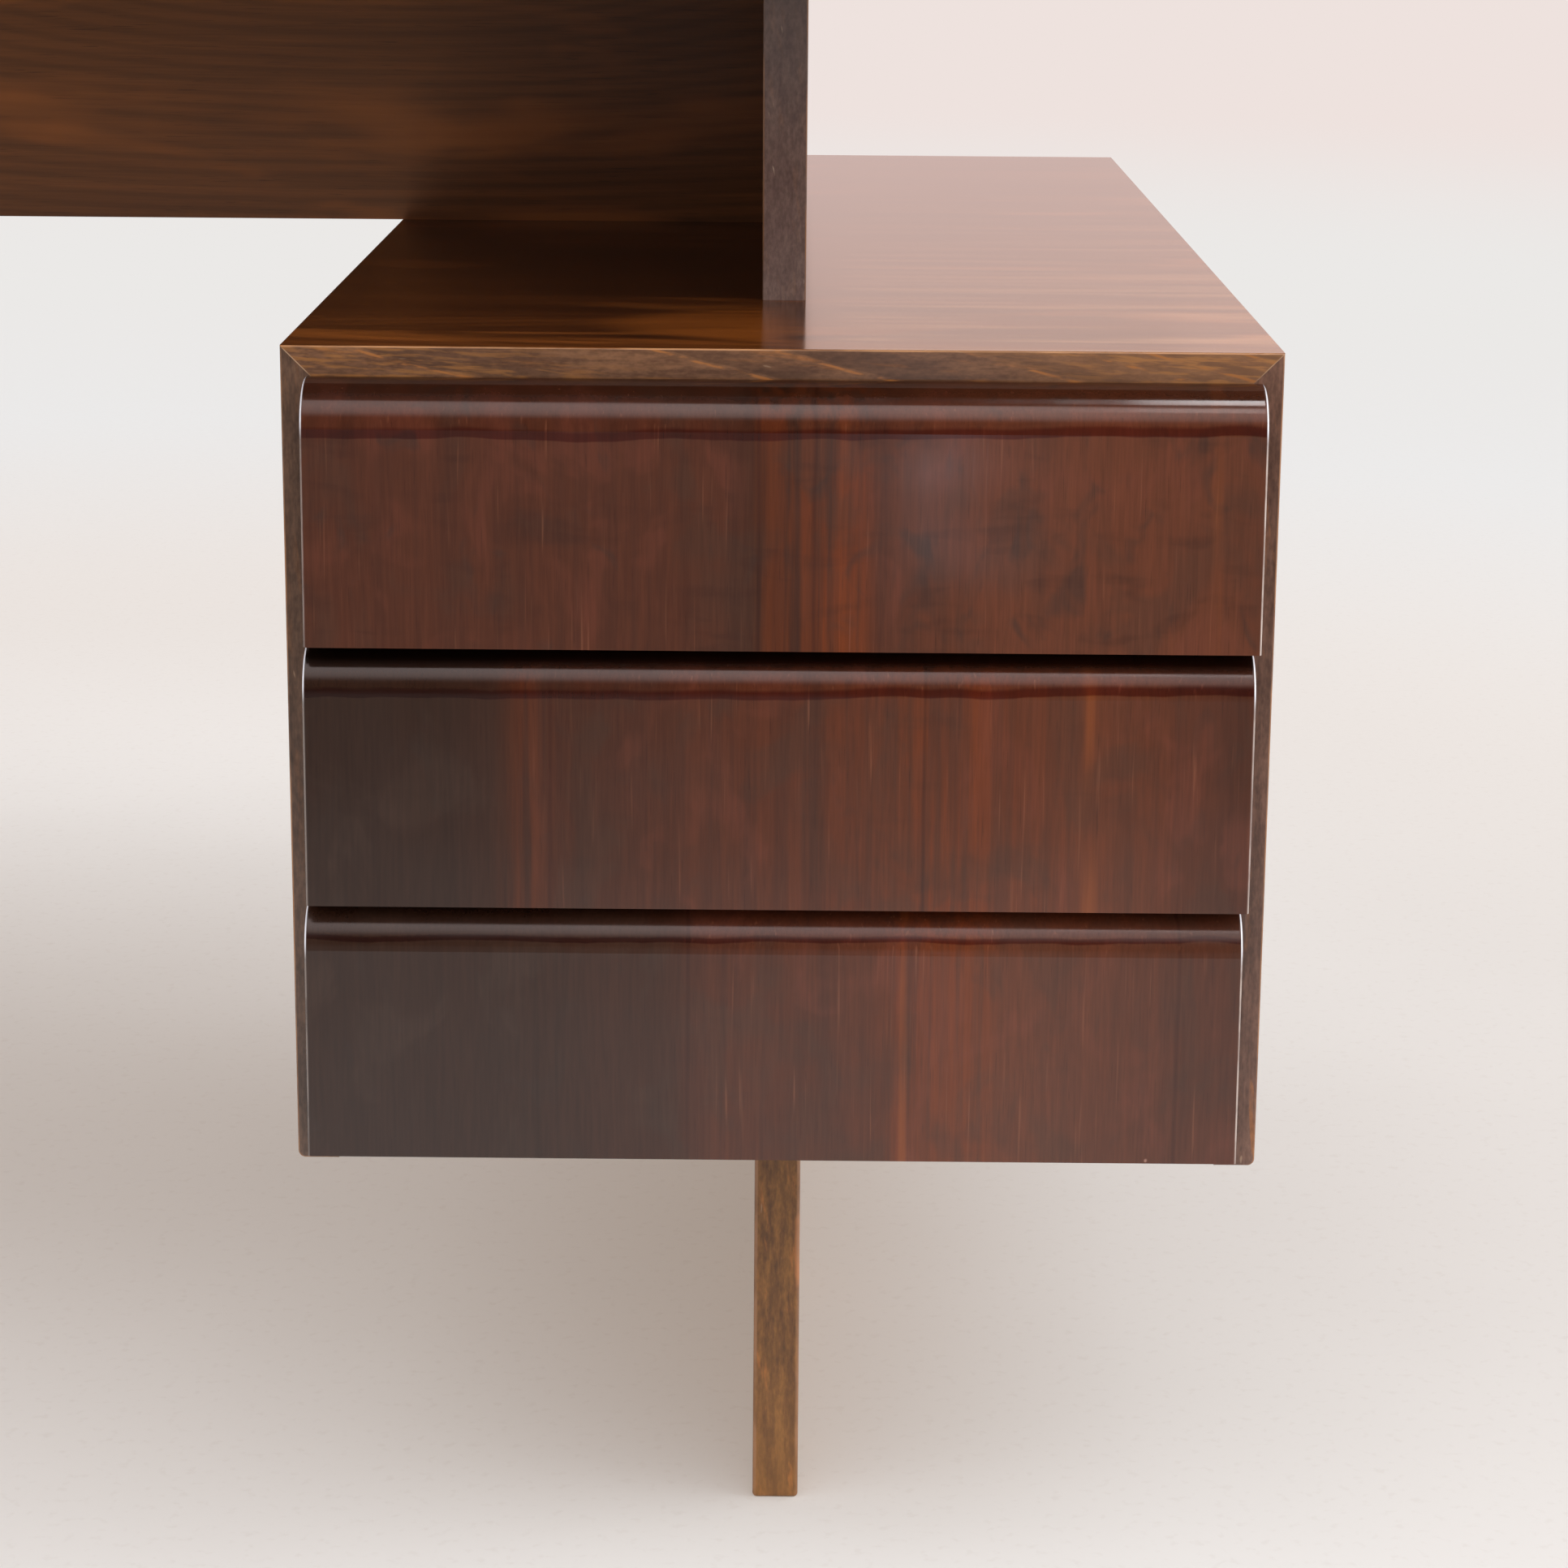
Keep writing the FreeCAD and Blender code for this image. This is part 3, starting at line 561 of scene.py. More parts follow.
def painted_end_highlights(look, parts, colour, top, right_highlight):
    """Painted highlights: pale lines on the rounded ends of a drawer front that stand in for the
    reflection of bright windows, most of all at the nose and at the right."""
    sideways = look.absolute(look.nx)
    turned = look.fade(sideways, *END_TURNED)
    beyond = look.fade(sideways, *END_BEYOND)
    broken = look.fade(look.pattern(parts["place"], END_BREAKS), *END_BREAK_FADE)
    nose = look.fade(look.z, top - NOSE_REACH, top - NOSE_WHOLE)
    side = look.fade(look.nx, *END_SIDE_CHANGE, LEFT_HIGHLIGHT, right_highlight)
    amount = look.math("MAXIMUM", look.times(broken, side), look.times(nose, NOSE_HIGHLIGHT))
    pale = look.mix(nose, END_HIGHLIGHT, NOSE_END_HIGHLIGHT)
    # Lay the painted highlight over the rounded ends
    return look.lay(colour, pale, turned, beyond, amount)


# Stained boards


class Edge(NamedTuple):
    """The front edge of a board."""

    dark: tuple  # tones
    light: tuple
    flame: float  # strength of the orange flames
    stain: float  # strength of the dark stain


class Warmth(NamedTuple):
    """Patches where the stain has worn thin."""

    tone: tuple
    strength: float


class Board(NamedTuple):
    """The looks of a stained board."""

    tones: tuple  # dark and light
    gloss: float  # roughness
    contrast: float = 1.0
    edge: Edge | None = None
    rings: Rings | None = None
    warmth: Warmth | None = None
    worn: tuple = (158, 112, 76)  # the tone of its rubbed arrises
    only_upright: bool = False  # whether only its upright arrises are rubbed
    relief: float = 0.003 * MM
    marks: Callable | None = None  # lays the board's own marks over its colour, and on the upper plank painted light


RING_DARKNESS = 0.5
THIN_STAIN = Pattern(5.0, 26.0, 3.0, 0.6, 0.4)
THIN_STAIN_FADE = 0.52, 0.72, 0.0
ARRIS_BREAKS = Pattern(34.0, 34.0, 3.0)
ARRIS_BREAK_FADE = 0.36, 0.60, 0.15, 0.85
MITRE = srgb(176, 142, 112)


def stained_board(name, axis, shift, board):
    """A stained board whose grain runs along an axis, from its own part of the patterns."""
    look = Finish(name)
    dark, light = (srgb(*tone) for tone in board.tones)
    parts = grain_parts(look, axis, shift)
    colour = grained(look, parts, dark, light, board.contrast)
    if board.rings is not None:
        rings = arches(look, board.rings)
        colour = look.lay(colour, darker(dark, RING_DARKNESS), rings, board.rings.strength)
    if board.warmth is not None:
        thin = look.pattern(parts["place"], THIN_STAIN)
        thin = look.fade(thin, *THIN_STAIN_FADE, board.warmth.strength)
        colour = look.lay(colour, srgb(*board.warmth.tone), thin)
    if board.edge is not None:
        ahead = look.facing_user()
        colour = look.lay(colour, worn_edge(look, parts, board.edge), ahead)
        colour = look.lay(colour, MITRE, ahead, mitre_line(look))
    if board.marks is not None:
        colour = board.marks(look, parts, colour)
    breaks = look.fade(look.pattern(parts["place"], ARRIS_BREAKS), *ARRIS_BREAK_FADE)
    colour = look.lay(colour, srgb(*board.worn), look.arris(board.only_upright), breaks)
    if board.relief:
        look.bump(parts["fibres"], board.relief)
    return look.finish(colour, board.gloss)


# How far flames, stains and ticks shift across the edge over a metre along it
EDGE_TILT = 0.10
EDGE_MOTTLE = Pattern(30.0, 240.0, 4.0, 0.7)
EDGE_FLAMES = Pattern(7.0, 210.0, 3.0, 0.65)
EDGE_FLAME = srgb(168, 104, 50)
EDGE_FLAME_FADE = 0.57, 0.70, 0.0
EDGE_STAINS = Pattern(9.0, 120.0)
EDGE_STAIN_FADE = 0.56, 0.74, 0.0
EDGE_STAIN_SHARE = 0.6
EDGE_GRIT = Pattern(260.0, 620.0, 2.0, 0.6)
EDGE_GRIT_VALUES = 0.84, 1.18
EDGE_TICKS = Pattern(80.0, 420.0, 1.0)
EDGE_TICK = srgb(180, 148, 120)
EDGE_TICK_FADE = 0.76, 0.82, 0.0, 0.5


def worn_edge(look, parts, edge):
    """The narrow edge of a board: mottled colour, orange flames, dark stain, grit and ticks."""
    place = parts["place"]
    mottle = look.fade(look.pattern(place, EDGE_MOTTLE), *NOISE_SPAN)
    colour = look.mix(mottle, srgb(*edge.dark), srgb(*edge.light))
    u, v, w = place
    tilted = u, look.plus(v, look.times(u, EDGE_TILT)), look.plus(w, look.times(u, EDGE_TILT))
    flames = look.fade(look.pattern(tilted, EDGE_FLAMES), *EDGE_FLAME_FADE, edge.flame)
    colour = look.lay(colour, EDGE_FLAME, flames)
    stains = look.fade(look.pattern(tilted, EDGE_STAINS), *EDGE_STAIN_FADE, edge.stain)
    stain = srgb(*(value * EDGE_STAIN_SHARE for value in edge.dark))
    colour = look.lay(colour, stain, stains)
    grit = look.fade(look.pattern(place, EDGE_GRIT), *NOISE_SPAN, *EDGE_GRIT_VALUES)
    colour = look.shade(colour, grit)
    ticks = look.fade(look.pattern(tilted, EDGE_TICKS), *EDGE_TICK_FADE)
    return look.lay(colour, EDGE_TICK, ticks)


MITRE_FADE = 0.45 * MM, 0.1 * MM
MITRE_BREAKS = Pattern(150.0, 150.0)
MITRE_BREAK_FADE = 0.38, 0.58, 0.25, 0.9


def mitre_line(look):
    """The pale joint between the pedestal's top and sides, on their front edges."""
    left_low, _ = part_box("pedestal_left_side")
    _, right_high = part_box("pedestal_right_side")
    _, top_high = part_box("pedestal_top")
    inward = look.math("MINIMUM", look.minus(look.x, left_low.x), look.minus(right_high.x, look.x))
    off = look.absolute(look.minus(inward, look.minus(top_high.z, look.z)))
    breaks = look.pattern((look.x, look.y, look.z), MITRE_BREAKS)
    return look.times(look.fade(off, *MITRE_FADE), look.fade(breaks, *MITRE_BREAK_FADE))


# The growth rings in the front edge of the top: their places over its width, the tones of plain
# wood, of the wood before a ring and after it, and the widths of those two
EDGE_RINGS = (0.062, 0.365, 0.487, 0.672, 0.79, 0.86, 0.95)
RING_PLAIN = 0.5
RING_LIGHT = 0.6
RING_DARK = 0.2
RING_RISE = 0.014
RING_FALL = 0.018


def ring_stops():
    """The tone over the edge: it lightens up to each ring's flame, 1, and starts dark again."""
    stops = [(0.0, RING_PLAIN)]
    for place in EDGE_RINGS:
        stops += [(place - RING_RISE, RING_LIGHT), (place, 1.0), (place + RING_FALL, RING_DARK)]
    return stops + [(1.0, RING_PLAIN)]


# How far a ring shifts sideways over its way down the edge, and how it wanders
RING_SLANT = 4.0
EDGE_WANDER = Pattern(26.0, 90.0)
EDGE_WANDER_REACH = 14 * MM
RING_SHADOW = srgb(74, 50, 37)
RING_SHADOW_FADE = 0.55, 0.2, 0.0, 0.5
RING_BITS = Pattern(60.0, 420.0, 3.0, 0.6)
RING_BIT_LAYER = 7.0
RING_BIT = srgb(164, 110, 58)
RING_BIT_FADE = 0.46, 0.64
BITS_AT_LEFT = 0.34, 0.10, 0.0, 0.55
BITS_AT_RIGHT = 0.60, 0.84, 0.0, 0.8
LIGHT_END = srgb(166, 120, 86)
LIGHT_END_FADE = 0.55, 0.85, 0.0, 0.3
FLAME_BREAKS = Pattern(90.0, 420.0, 3.0)
FLAME_BREAK_FADE = 0.42, 0.60, 0.0, 0.75
RING_FLAME = srgb(176, 112, 58)
RING_FLAME_FADE = 0.70, 1.0


def edge_rings(look, parts, colour, low, high):
    """Growth rings that cross the front edge of the top at a slant, each with an orange flame."""
    ahead = look.facing_user()
    wander = look.sheet(look.x, look.z, EDGE_WANDER, 0.0)
    slant = look.times(look.minus(high.z, look.z), RING_SLANT)
    across = look.minus(look.minus(look.x, low.x), slant)
    across = look.plus(across, look.swing(wander, EDGE_WANDER_REACH))
    share = look.times(across, 1 / (high.x - low.x))
    ring = look.profile(share, ring_stops())
    colour = look.lay(colour, RING_SHADOW, look.fade(ring, *RING_SHADOW_FADE), ahead)
    bits = look.fade(look.sheet(across, look.z, RING_BITS, RING_BIT_LAYER), *RING_BIT_FADE)
    ends = look.plus(look.fade(share, *BITS_AT_LEFT), look.fade(share, *BITS_AT_RIGHT))
    colour = look.lay(colour, RING_BIT, bits, ends, ahead)
    colour = look.lay(colour, LIGHT_END, look.fade(share, *LIGHT_END_FADE), ahead)
    breaks = look.fade(look.pattern(parts["place"], FLAME_BREAKS), *FLAME_BREAK_FADE)
    return look.lay(colour, RING_FLAME, look.fade(ring, *RING_FLAME_FADE), breaks, ahead)


# The orange arch is a parabola that opens to the right: its tip left of the plank and behind the
# front edge, its width, and the soft border, in square metres
ARCH_LEFT = 62 * MM
ARCH_BEHIND = 72 * MM
ARCH_WIDTH = 42 * MM
ARCH_BORDER = 0.0008, -0.0008
ARCH = srgb(158, 86, 30)
ARCH_STREAK_FADE = 0.3, 0.6, 0.3, 0.75
DUST_PATTERN = Pattern(5.0, 80.0, 4.0, 0.65)
DUST = srgb(188, 138, 94)
DUST_FADE = 0.42, 0.70
DUST_BEHIND_AND_AHEAD = 0.12, 0.7
DUST_START = 30 * MM


def top_marks(look, parts, colour):
    """An orange arch of grain in front of the plank, and dusty streaks at the plank's right."""
    low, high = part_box("pedestal_top")
    colour = edge_rings(look, parts, colour, low, high)
    plank_low, plank_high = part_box("upper_right_plank")
    up = look.fade(look.nz, *FACING_UP)
    u = look.minus(look.x, plank_low.x - ARCH_LEFT)
    v = look.minus(look.y, low.y + ARCH_BEHIND)
    inside = look.fade(look.minus(look.times(v, v), look.times(u, ARCH_WIDTH)), *ARCH_BORDER)
    left = look.fade(look.x, plank_high.x, plank_low.x)
    streaks = look.fade(parts["streaks"], *ARCH_STREAK_FADE)
    colour = look.lay(colour, ARCH, inside, up, left, streaks)
    dust = look.fade(look.pattern(parts["place"], DUST_PATTERN), *DUST_FADE)
    nearer = look.fade(look.y, high.y, low.y, *DUST_BEHIND_AND_AHEAD)
    right = look.fade(look.x, plank_high.x, plank_high.x + DUST_START)
    return look.lay(colour, DUST, dust, nearer, up, right)


# Painted light: the upper plank's front edge times these tints, from its lower to its upper end
PLANK_FOOT_LIGHT_TINT = (2.6, 3.3, 3.9, 1.0)
PLANK_HEAD_TINT = (0.95, 0.94, 0.92, 1.0)


def plank_marks(look, parts, colour):
    """Painted light: the upper plank's front edge made much lighter and bluer towards its foot,
    standing in for the cool light that falls there.
    """
    low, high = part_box("upper_right_plank")
    tint = look.mix(look.fade(look.z, low.z, high.z), PLANK_FOOT_LIGHT_TINT, PLANK_HEAD_TINT)
    return look.lay(colour, look.tint(colour, tint), look.facing_user())


OCHRE = srgb(142, 94, 40)
OCHRE_FADE = 0.09, 0.0, 0.0, 0.35
SPOTS = Pattern(40.0, 40.0, 3.0)
SPOT = srgb(186, 118, 68)
SPOT_FADE = 0.52, 0.60, 0.0, 0.9
SPOT_REACH = 3 * MM
SPOT_WHOLE = 1 * MM
SPOT_AHEAD = 0.05, 0.25


def leg_marks(look, parts, colour):
    """Ochre at the foot of the leg, and orange spots rubbed into its right arris in front."""
    _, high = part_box("lower_right_leg")
    colour = look.lay(colour, OCHRE, look.fade(look.z, *OCHRE_FADE))
    spots = look.fade(look.pattern(parts["place"], SPOTS), *SPOT_FADE)
    right = look.fade(look.x, high.x - SPOT_REACH, high.x - SPOT_WHOLE)
    ahead = look.fade(look.times(look.ny, -1.0), *SPOT_AHEAD)
    return look.lay(colour, SPOT, spots, look.times(right, ahead))


# Plain wood, plywood and steel

PLAIN_CONTRAST = 0.6
PLAIN_FIBRE_DEPTH = 0.03 * MM
PLAIN_GLOSS_RANGE = 0.12


def plain_wood(name, axis, shift, dark, light, rough=0.6):
    """Unfinished or waxed wood of the hidden pieces."""
    look = Finish(name)
    parts = grain_parts(look, axis, shift)
    colour = grained(look, parts, dark, light, PLAIN_CONTRAST)
    look.bump(parts["fibres"], PLAIN_FIBRE_DEPTH)
    roughness = look.fade(parts["streaks"], *NOISE_SPAN, rough, rough + PLAIN_GLOSS_RANGE)
    return look.finish(colour, roughness)


PLIES = 3
PLY_DARK = srgb(176, 140, 98)
PLY_LIGHT = srgb(196, 162, 118)
PLY_LAYER = srgb(120, 84, 52)
PLY_LAYER_FADE = 0.1, -0.1
PLY_LAYER_SHARE = 0.6
PLY_EDGE = 0.7, 0.3
PLY_GLOSS = 0.62


def plywood(name, axis, shift, low, high):
    """Thin plywood: a plain face, and plies that show on the edges."""
    look = Finish(name)
    parts = grain_parts(look, axis, shift)
    colour = grained(look, parts, PLY_DARK, PLY_LIGHT, PLAIN_CONTRAST)
    turns = look.times(look.minus(look.z, low), math.pi * PLIES / (high - low))
    layer = look.fade(look.math("SINE", turns), *PLY_LAYER_FADE)
    edge = look.fade(look.absolute(look.nz), *PLY_EDGE)
    colour = look.lay(colour, PLY_LAYER, edge, layer, PLY_LAYER_SHARE)
    look.bump(parts["fibres"], PLAIN_FIBRE_DEPTH)
    return look.finish(colour, PLY_GLOSS)


TARNISH = Pattern(900.0, 900.0)
TARNISH_FADE = 0.45, 0.65
STEEL = srgb(150, 148, 144)
TARNISHED_STEEL = srgb(108, 100, 92)
STEEL_GLOSS = 0.4, 0.7, 0.34, 0.5


def steel(name):
    """Dulled steel of the wood screws."""
    look = Finish(name)
    spots = look.pattern((look.x, look.y, look.z), TARNISH)
    colour = look.mix(look.fade(spots, *TARNISH_FADE), STEEL, TARNISHED_STEEL)
    look.shader.inputs["Metallic"].default_value = 1.0
    return look.finish(colour, look.fade(spots, *STEEL_GLOSS))


# Which finish each piece gets. The number after an axis of grain takes the piece to its own part
# of the patterns.


def dress(node, material):
    """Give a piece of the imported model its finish."""
    piece = NODES[node]
    if not piece.material_slots:
        piece.data.materials.append(material)
    for index in range(len(piece.material_slots)):
        piece.material_slots[index].material = material


def dress_fronts():
    for number in FRONTS:
        dress(f"drawer_{number}_front", front_veneer(number))


def dress_carcase():
    top_low, top_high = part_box("pedestal_top")
    centre = (top_low + top_high) / 2
    top = Board(
        tones=((60, 28, 10), (106, 56, 21)), gloss=0.15, contrast=0.8,
        edge=Edge(dark=(94, 64, 46), light=(124, 87, 61), flame=0.35, stain=0.3),
        rings=Rings(
            u=("x", centre.x - 0.20), v=("y", top_low.y + 0.04),
            depth=0.06, slope=0.12, spacing=7 * MM, strength=0.4,
        ),
        warmth=Warmth(tone=(164, 92, 36), strength=0.7), worn=(184, 132, 88), relief=0.0,
        marks=top_marks,
    )
    dress("pedestal_top", stained_board("ped_top_wood", "x", 0.4, top))
    side = Board(
        tones=((66, 37, 23), (92, 54, 33)), gloss=0.2, contrast=0.7,
        rings=Rings(
            u=("z", 0.3), v=("y", centre.y), depth=0.12, slope=0.12, spacing=10 * MM, strength=0.16
        ),
    )
    left_edge = Edge(dark=(76, 56, 44), light=(104, 77, 60), flame=0.10, stain=0.2)
    right_edge = Edge(dark=(92, 64, 51), light=(122, 88, 72), flame=0.50, stain=0.3)
    left = side._replace(edge=left_edge)
    right = side._replace(edge=right_edge)
    dress("pedestal_left_side", stained_board("ped_left_wood", "z", 1.3, left))
    dress("pedestal_right_side", stained_board("ped_right_wood", "z", 2.2, right))
    bottom = Board(tones=((58, 38, 26), (78, 52, 36)), gloss=0.4)
    dress("pedestal_bottom", stained_board("ped_bottom_wood", "x", 3.6, bottom))
    back = bottom._replace(gloss=0.35)
    dress("pedestal_back", stained_board("ped_back_wood", "x", 4.1, back))


def dress_planks():
    left = Board(
        tones=((74, 50, 38), (92, 64, 47)), gloss=0.36, contrast=0.7,
        edge=Edge(dark=(82, 59, 51), light=(97, 72, 61), flame=0.06, stain=0.1),
        rings=Rings(
            u=("z", 0.4), v=("y", None), depth=0.09, slope=0.10, spacing=9 * MM, strength=0.16
        ),
        only_upright=True,
    )
    upper = left._replace(gloss=0.34, marks=plank_marks)
    leg = left._replace(
        tones=((92, 60, 38), (128, 86, 50)), gloss=0.42,
        edge=Edge(dark=(98, 63, 34), light=(142, 95, 46), flame=0.75, stain=0.4),
        marks=leg_marks,
    )
    boards = (
        ("upper_right_plank", 5.2, upper),
        ("lower_right_leg", 6.3, leg),
        ("left_plank", 7.7, left),
    )
    for node, shift, board in boards:
        dress(node, stained_board(f"{node}_wood", "z", shift, board))


def dress_apron_and_top():
    low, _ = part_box("apron")
    apron = Board(
        tones=((116, 69, 33), (140, 83, 39)), gloss=0.3, contrast=0.6,
        rings=Rings(
            u=("x", low.x + 0.70), v=("z", low.z + 0.150),
            depth=0.06, slope=0.22, spacing=6.6 * MM, strength=0.26,
        ),
        warmth=Warmth(tone=(182, 104, 42), strength=0.6),
    )
    dress("apron", stained_board("apron_wood", "x", 8.3, apron))
    desktop = Board(
        tones=((70, 41, 25), (98, 58, 33)), gloss=0.18, contrast=0.8,
        rings=Rings(
            u=("x", None), v=("y", None), depth=0.2, slope=0.10, spacing=12 * MM, strength=0.22
        ),
        warmth=Warmth(tone=(134, 78, 38), strength=0.6),
    )
    dress("desktop_panel", stained_board("desktop_wood", "x", 9.1, desktop))
    lipping = Board(tones=((66, 44, 30), (98, 66, 42)), gloss=0.26)
    for side, axis in (("front", "x"), ("back", "x"), ("left", "y"), ("right", "y")):
        node = f"desktop_lipping_{side}"
        dress(node, stained_board(f"{node}_wood", axis, 10.0, lipping))


def dress_fixings():
    beech = srgb(168, 126, 86), srgb(190, 148, 104)
    cleat = plain_wood("cleat_wood", "y", 11.0, *beech)
    dress("right_plank_cleat", cleat)
    dress("left_plank_cleat", cleat)
    dress("apron_cleat", plain_wood("apron_cleat_wood", "x", 12.0, *beech))
    dowel = plain_wood("dowel_wood", "z", 13.0, *beech)
    dress("plank_dowels", dowel)
    dress("apron_dowels", dowel)
    runner = plain_wood("runner_wood", "y", 17.0, *beech, 0.4)
    for side in ("left", "right"):
        low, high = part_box(f"mitre_spline_{side}")
        dress(f"mitre_spline_{side}", plywood(f"spline_{side}_ply", "y", 14.0, low.z, high.z))
        for number in FRONTS:
            dress(f"runner_{number}_{side}", runner)


def dress_drawer_boxes():
    box_wood = srgb(176, 134, 92), srgb(200, 160, 116)
    side_wood = plain_wood("drawer_side_wood", "y", 15.0, *box_wood, 0.42)
    back_wood = plain_wood("drawer_back_wood", "x", 16.0, *box_wood, 0.42)
    for number in FRONTS:
        drawer = f"drawer_{number}"
        dress(f"{drawer}_left_side", side_wood)
        dress(f"{drawer}_right_side", side_wood)
        dress(f"{drawer}_back", back_wood)
        low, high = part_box(f"{drawer}_bottom")
        ply = plywood(f"{drawer}_ply", "x", 18.0 + number, low.z, high.z)
        dress(f"{drawer}_bottom", ply)


def dress_screws():
    screws = steel("screw_steel")
    for node in ("cleat", "plank", "runner", *(f"drawer_{number}" for number in FRONTS)):
        dress(f"{node}_screws", screws)


# The floor

FLOOR_REACH = 40.0
FLOOR_ROUGH = 0.7
CLOUDS = (1.3, 1.3, 1.3)
CLOUD_DETAIL = 4.0
CLOUD_FADE = 0.35, 0.65
CLOUD_DARK = srgb(232, 237, 239)
CLOUD_LIGHT = srgb(239, 244, 246)
GRIT = (160.0, 160.0, 160.0)
GRIT_FADE = 0.55, 0.75, 0.0, 0.12
GRIT_GREY = srgb(176, 170, 164)
# Distances from the middle of the desk over which the floor changes
OUTER_FADE = 0.6, 1.6
OUTER_FLOOR = srgb(214, 216, 216)
BACKDROP_FADE = 2.0, 4.2
GLOW_FADE = 1.6, 2.8
WALL_FADE = 4.5, 8.0
# The floor glows a little near the desk, and far from it only its glow is seen
FLOOR_GLOW = 0.30
FLOOR_LIGHT = srgb(235, 212, 192)
FAR_FLOOR = srgb(235, 233, 231)
PALE_WALL = srgb(238, 226, 222)
# In front of the desk, glossy faces and soft light meet a darker floor than the camera does
DARK_FLOOR = srgb(60, 56, 54)
DARK_FLOOR_SHARE = 0.85
DARK_FLOOR_FADE = -1.3, -2.4
# A bright patch of floor in front of the desk, which only the lacquer of the fronts mirrors
PATCH_X = 0.755
PATCH_Y = -4.3
PATCH_WIDTH = 0.14
PATCH_LENGTH = 0.9
PATCH_BORDER = 1.0, 0.1
PATCH_LIGHT = 2.6
PATCH_BLUE = (0.82, 0.86, 1.0, 1.0)


def floor_plane():
    """A wide flat plane at the desk's feet."""
    half = FLOOR_REACH
    mesh = bpy.data.meshes.new("floor")
    corners = [(-half, -half, 0), (half, -half, 0), (half, half, 0), (-half, half, 0)]
    mesh.from_pydata(corners, [], [(0, 1, 2, 3)])
    floor = bpy.data.objects.new("floor", mesh)
    bpy.context.scene.collection.objects.link(floor)
    return floor


def concrete(look, place, length):
    """Pale smooth concrete, a little greyer further out."""
    clouds = look.add("ShaderNodeVectorMath", place, CLOUDS, operation="MULTIPLY").outputs[0]
    grit = look.add("ShaderNodeVectorMath", place, GRIT, operation="MULTIPLY").outputs[0]
    clouds = look.fade(look.noise(clouds, CLOUD_DETAIL), *CLOUD_FADE)
    colour = look.mix(clouds, CLOUD_DARK, CLOUD_LIGHT)
    colour = look.lay(colour, OUTER_FLOOR, look.fade(length, *OUTER_FADE))
    return look.lay(colour, GRIT_GREY, look.fade(look.noise(grit), *GRIT_FADE))


def make_floor():
    """Concrete that goes over into the pale backdrop far from the desk."""
    floor = floor_plane()
    look = Finish("pale_concrete")
    place = look.join(look.x, look.y, 0.0)
    length = look.add("ShaderNodeVectorMath", place, operation="LENGTH").outputs["Value"]
    seen = look.nodes.new("ShaderNodeLightPath").outputs["Is Camera Ray"]
    unseen = look.minus(1.0, seen)
    ahead = look.fade(look.y, *DARK_FLOOR_FADE)
    colour = concrete(look, place, length)
    colour = look.lay(colour, DARK_FLOOR, unseen, ahead, DARK_FLOOR_SHARE)
    material = look.finish(colour, FLOOR_ROUGH)
    across = look.times(look.minus(look.x, PATCH_X), 1 / PATCH_WIDTH)
    along = look.times(look.minus(look.y, PATCH_Y), 1 / PATCH_LENGTH)
    patch = look.fade(look.distance(across, along), *PATCH_BORDER, 0.0, PATCH_LIGHT)
    look.wire(look.shader.inputs["Emission Color"], PATCH_BLUE)
    look.wire(look.shader.inputs["Emission Strength"], look.times(unseen, patch))
    distant = look.mix(look.fade(length, *GLOW_FADE), FLOOR_LIGHT, FAR_FLOOR)
    distant = look.mix(look.fade(length, *WALL_FADE), distant, PALE_WALL)
    backdrop = look.add("ShaderNodeEmission", distant, 1.0)
    both = look.nodes.new("ShaderNodeMixShader")
    glow = look.fade(length, *BACKDROP_FADE, FLOOR_GLOW, 1.0)
    look.wire(both.inputs[0], look.times(seen, glow))
    look.links.new(look.shader.outputs[0], both.inputs[1])
    look.links.new(backdrop.outputs[0], both.inputs[2])
    look.links.new(both.outputs[0], look.nodes["Material Output"].inputs["Surface"])
    floor.data.materials.append(material)


# The studio

# Radiance of the surroundings: everywhere, and what is added low at the sides and high in front,
# and there in a narrow window, and in another window near the zenith
SKY_PLAIN = 0.6
SKY_SIDES = 1.8
SKY_FRONT = 2.2
SKY_GLINT = 6.0
SKY_CROWN = 16.0
# How much darker glossy faces see the zenith and the belt low in front
ZENITH_SHADE = 0.85
BELT_SHADE = 0.93
# Where these parts lie, by the x, y and z of the direction, which go from -1 to 1
SIDES_X = 0.5, 0.95
SIDES_Z = 0.7, 0.3
AHEAD_Y = 0.1, -0.4
HIGH_FROM_Z = 0.30, 0.86
HIGH_TO_Z = 0.93, 0.90
MIDDLE_LEFT_X = -0.09, -0.03, 0.72, 1.0
MIDDLE_RIGHT_X = 0.10, 0.05, 0.66, 1.0
GLINT_LEFT_X = 0.106, 0.110
GLINT_RIGHT_X = 0.124, 0.119
GLINT_FROM_Z = 0.77, 0.80
GLINT_TO_Z = 0.90, 0.87
CROWN_LEFT_X = 0.098, 0.114
CROWN_RIGHT_X = 0.18, 0.15
CROWN_Z = 0.94, 0.96
OVERHEAD_Y = 0.02, -0.03
ZENITH_Z = 0.905, 0.925
BELT_Z = 0.60, 0.36
BELT_X = 0.9, 0.6
BEHIND_Y = 0.5, 0.9
BEHIND_Z = 0.5, 0.2
PLASTER_Z = 0.07, 0.16
TINT_Z = 0.15, 0.6
LOW_LIGHT = (1.0, 0.93, 0.89, 1.0)
HIGH_LIGHT = (0.98, 0.98, 1.0, 1.0)
MIRRORED_LIGHT = (0.96, 0.82, 0.80, 1.0)
WARM_WALL = (1.20, 0.82, 0.70, 1.0)
PLASTER_WALL = (1.00, 0.79, 0.76, 1.0)


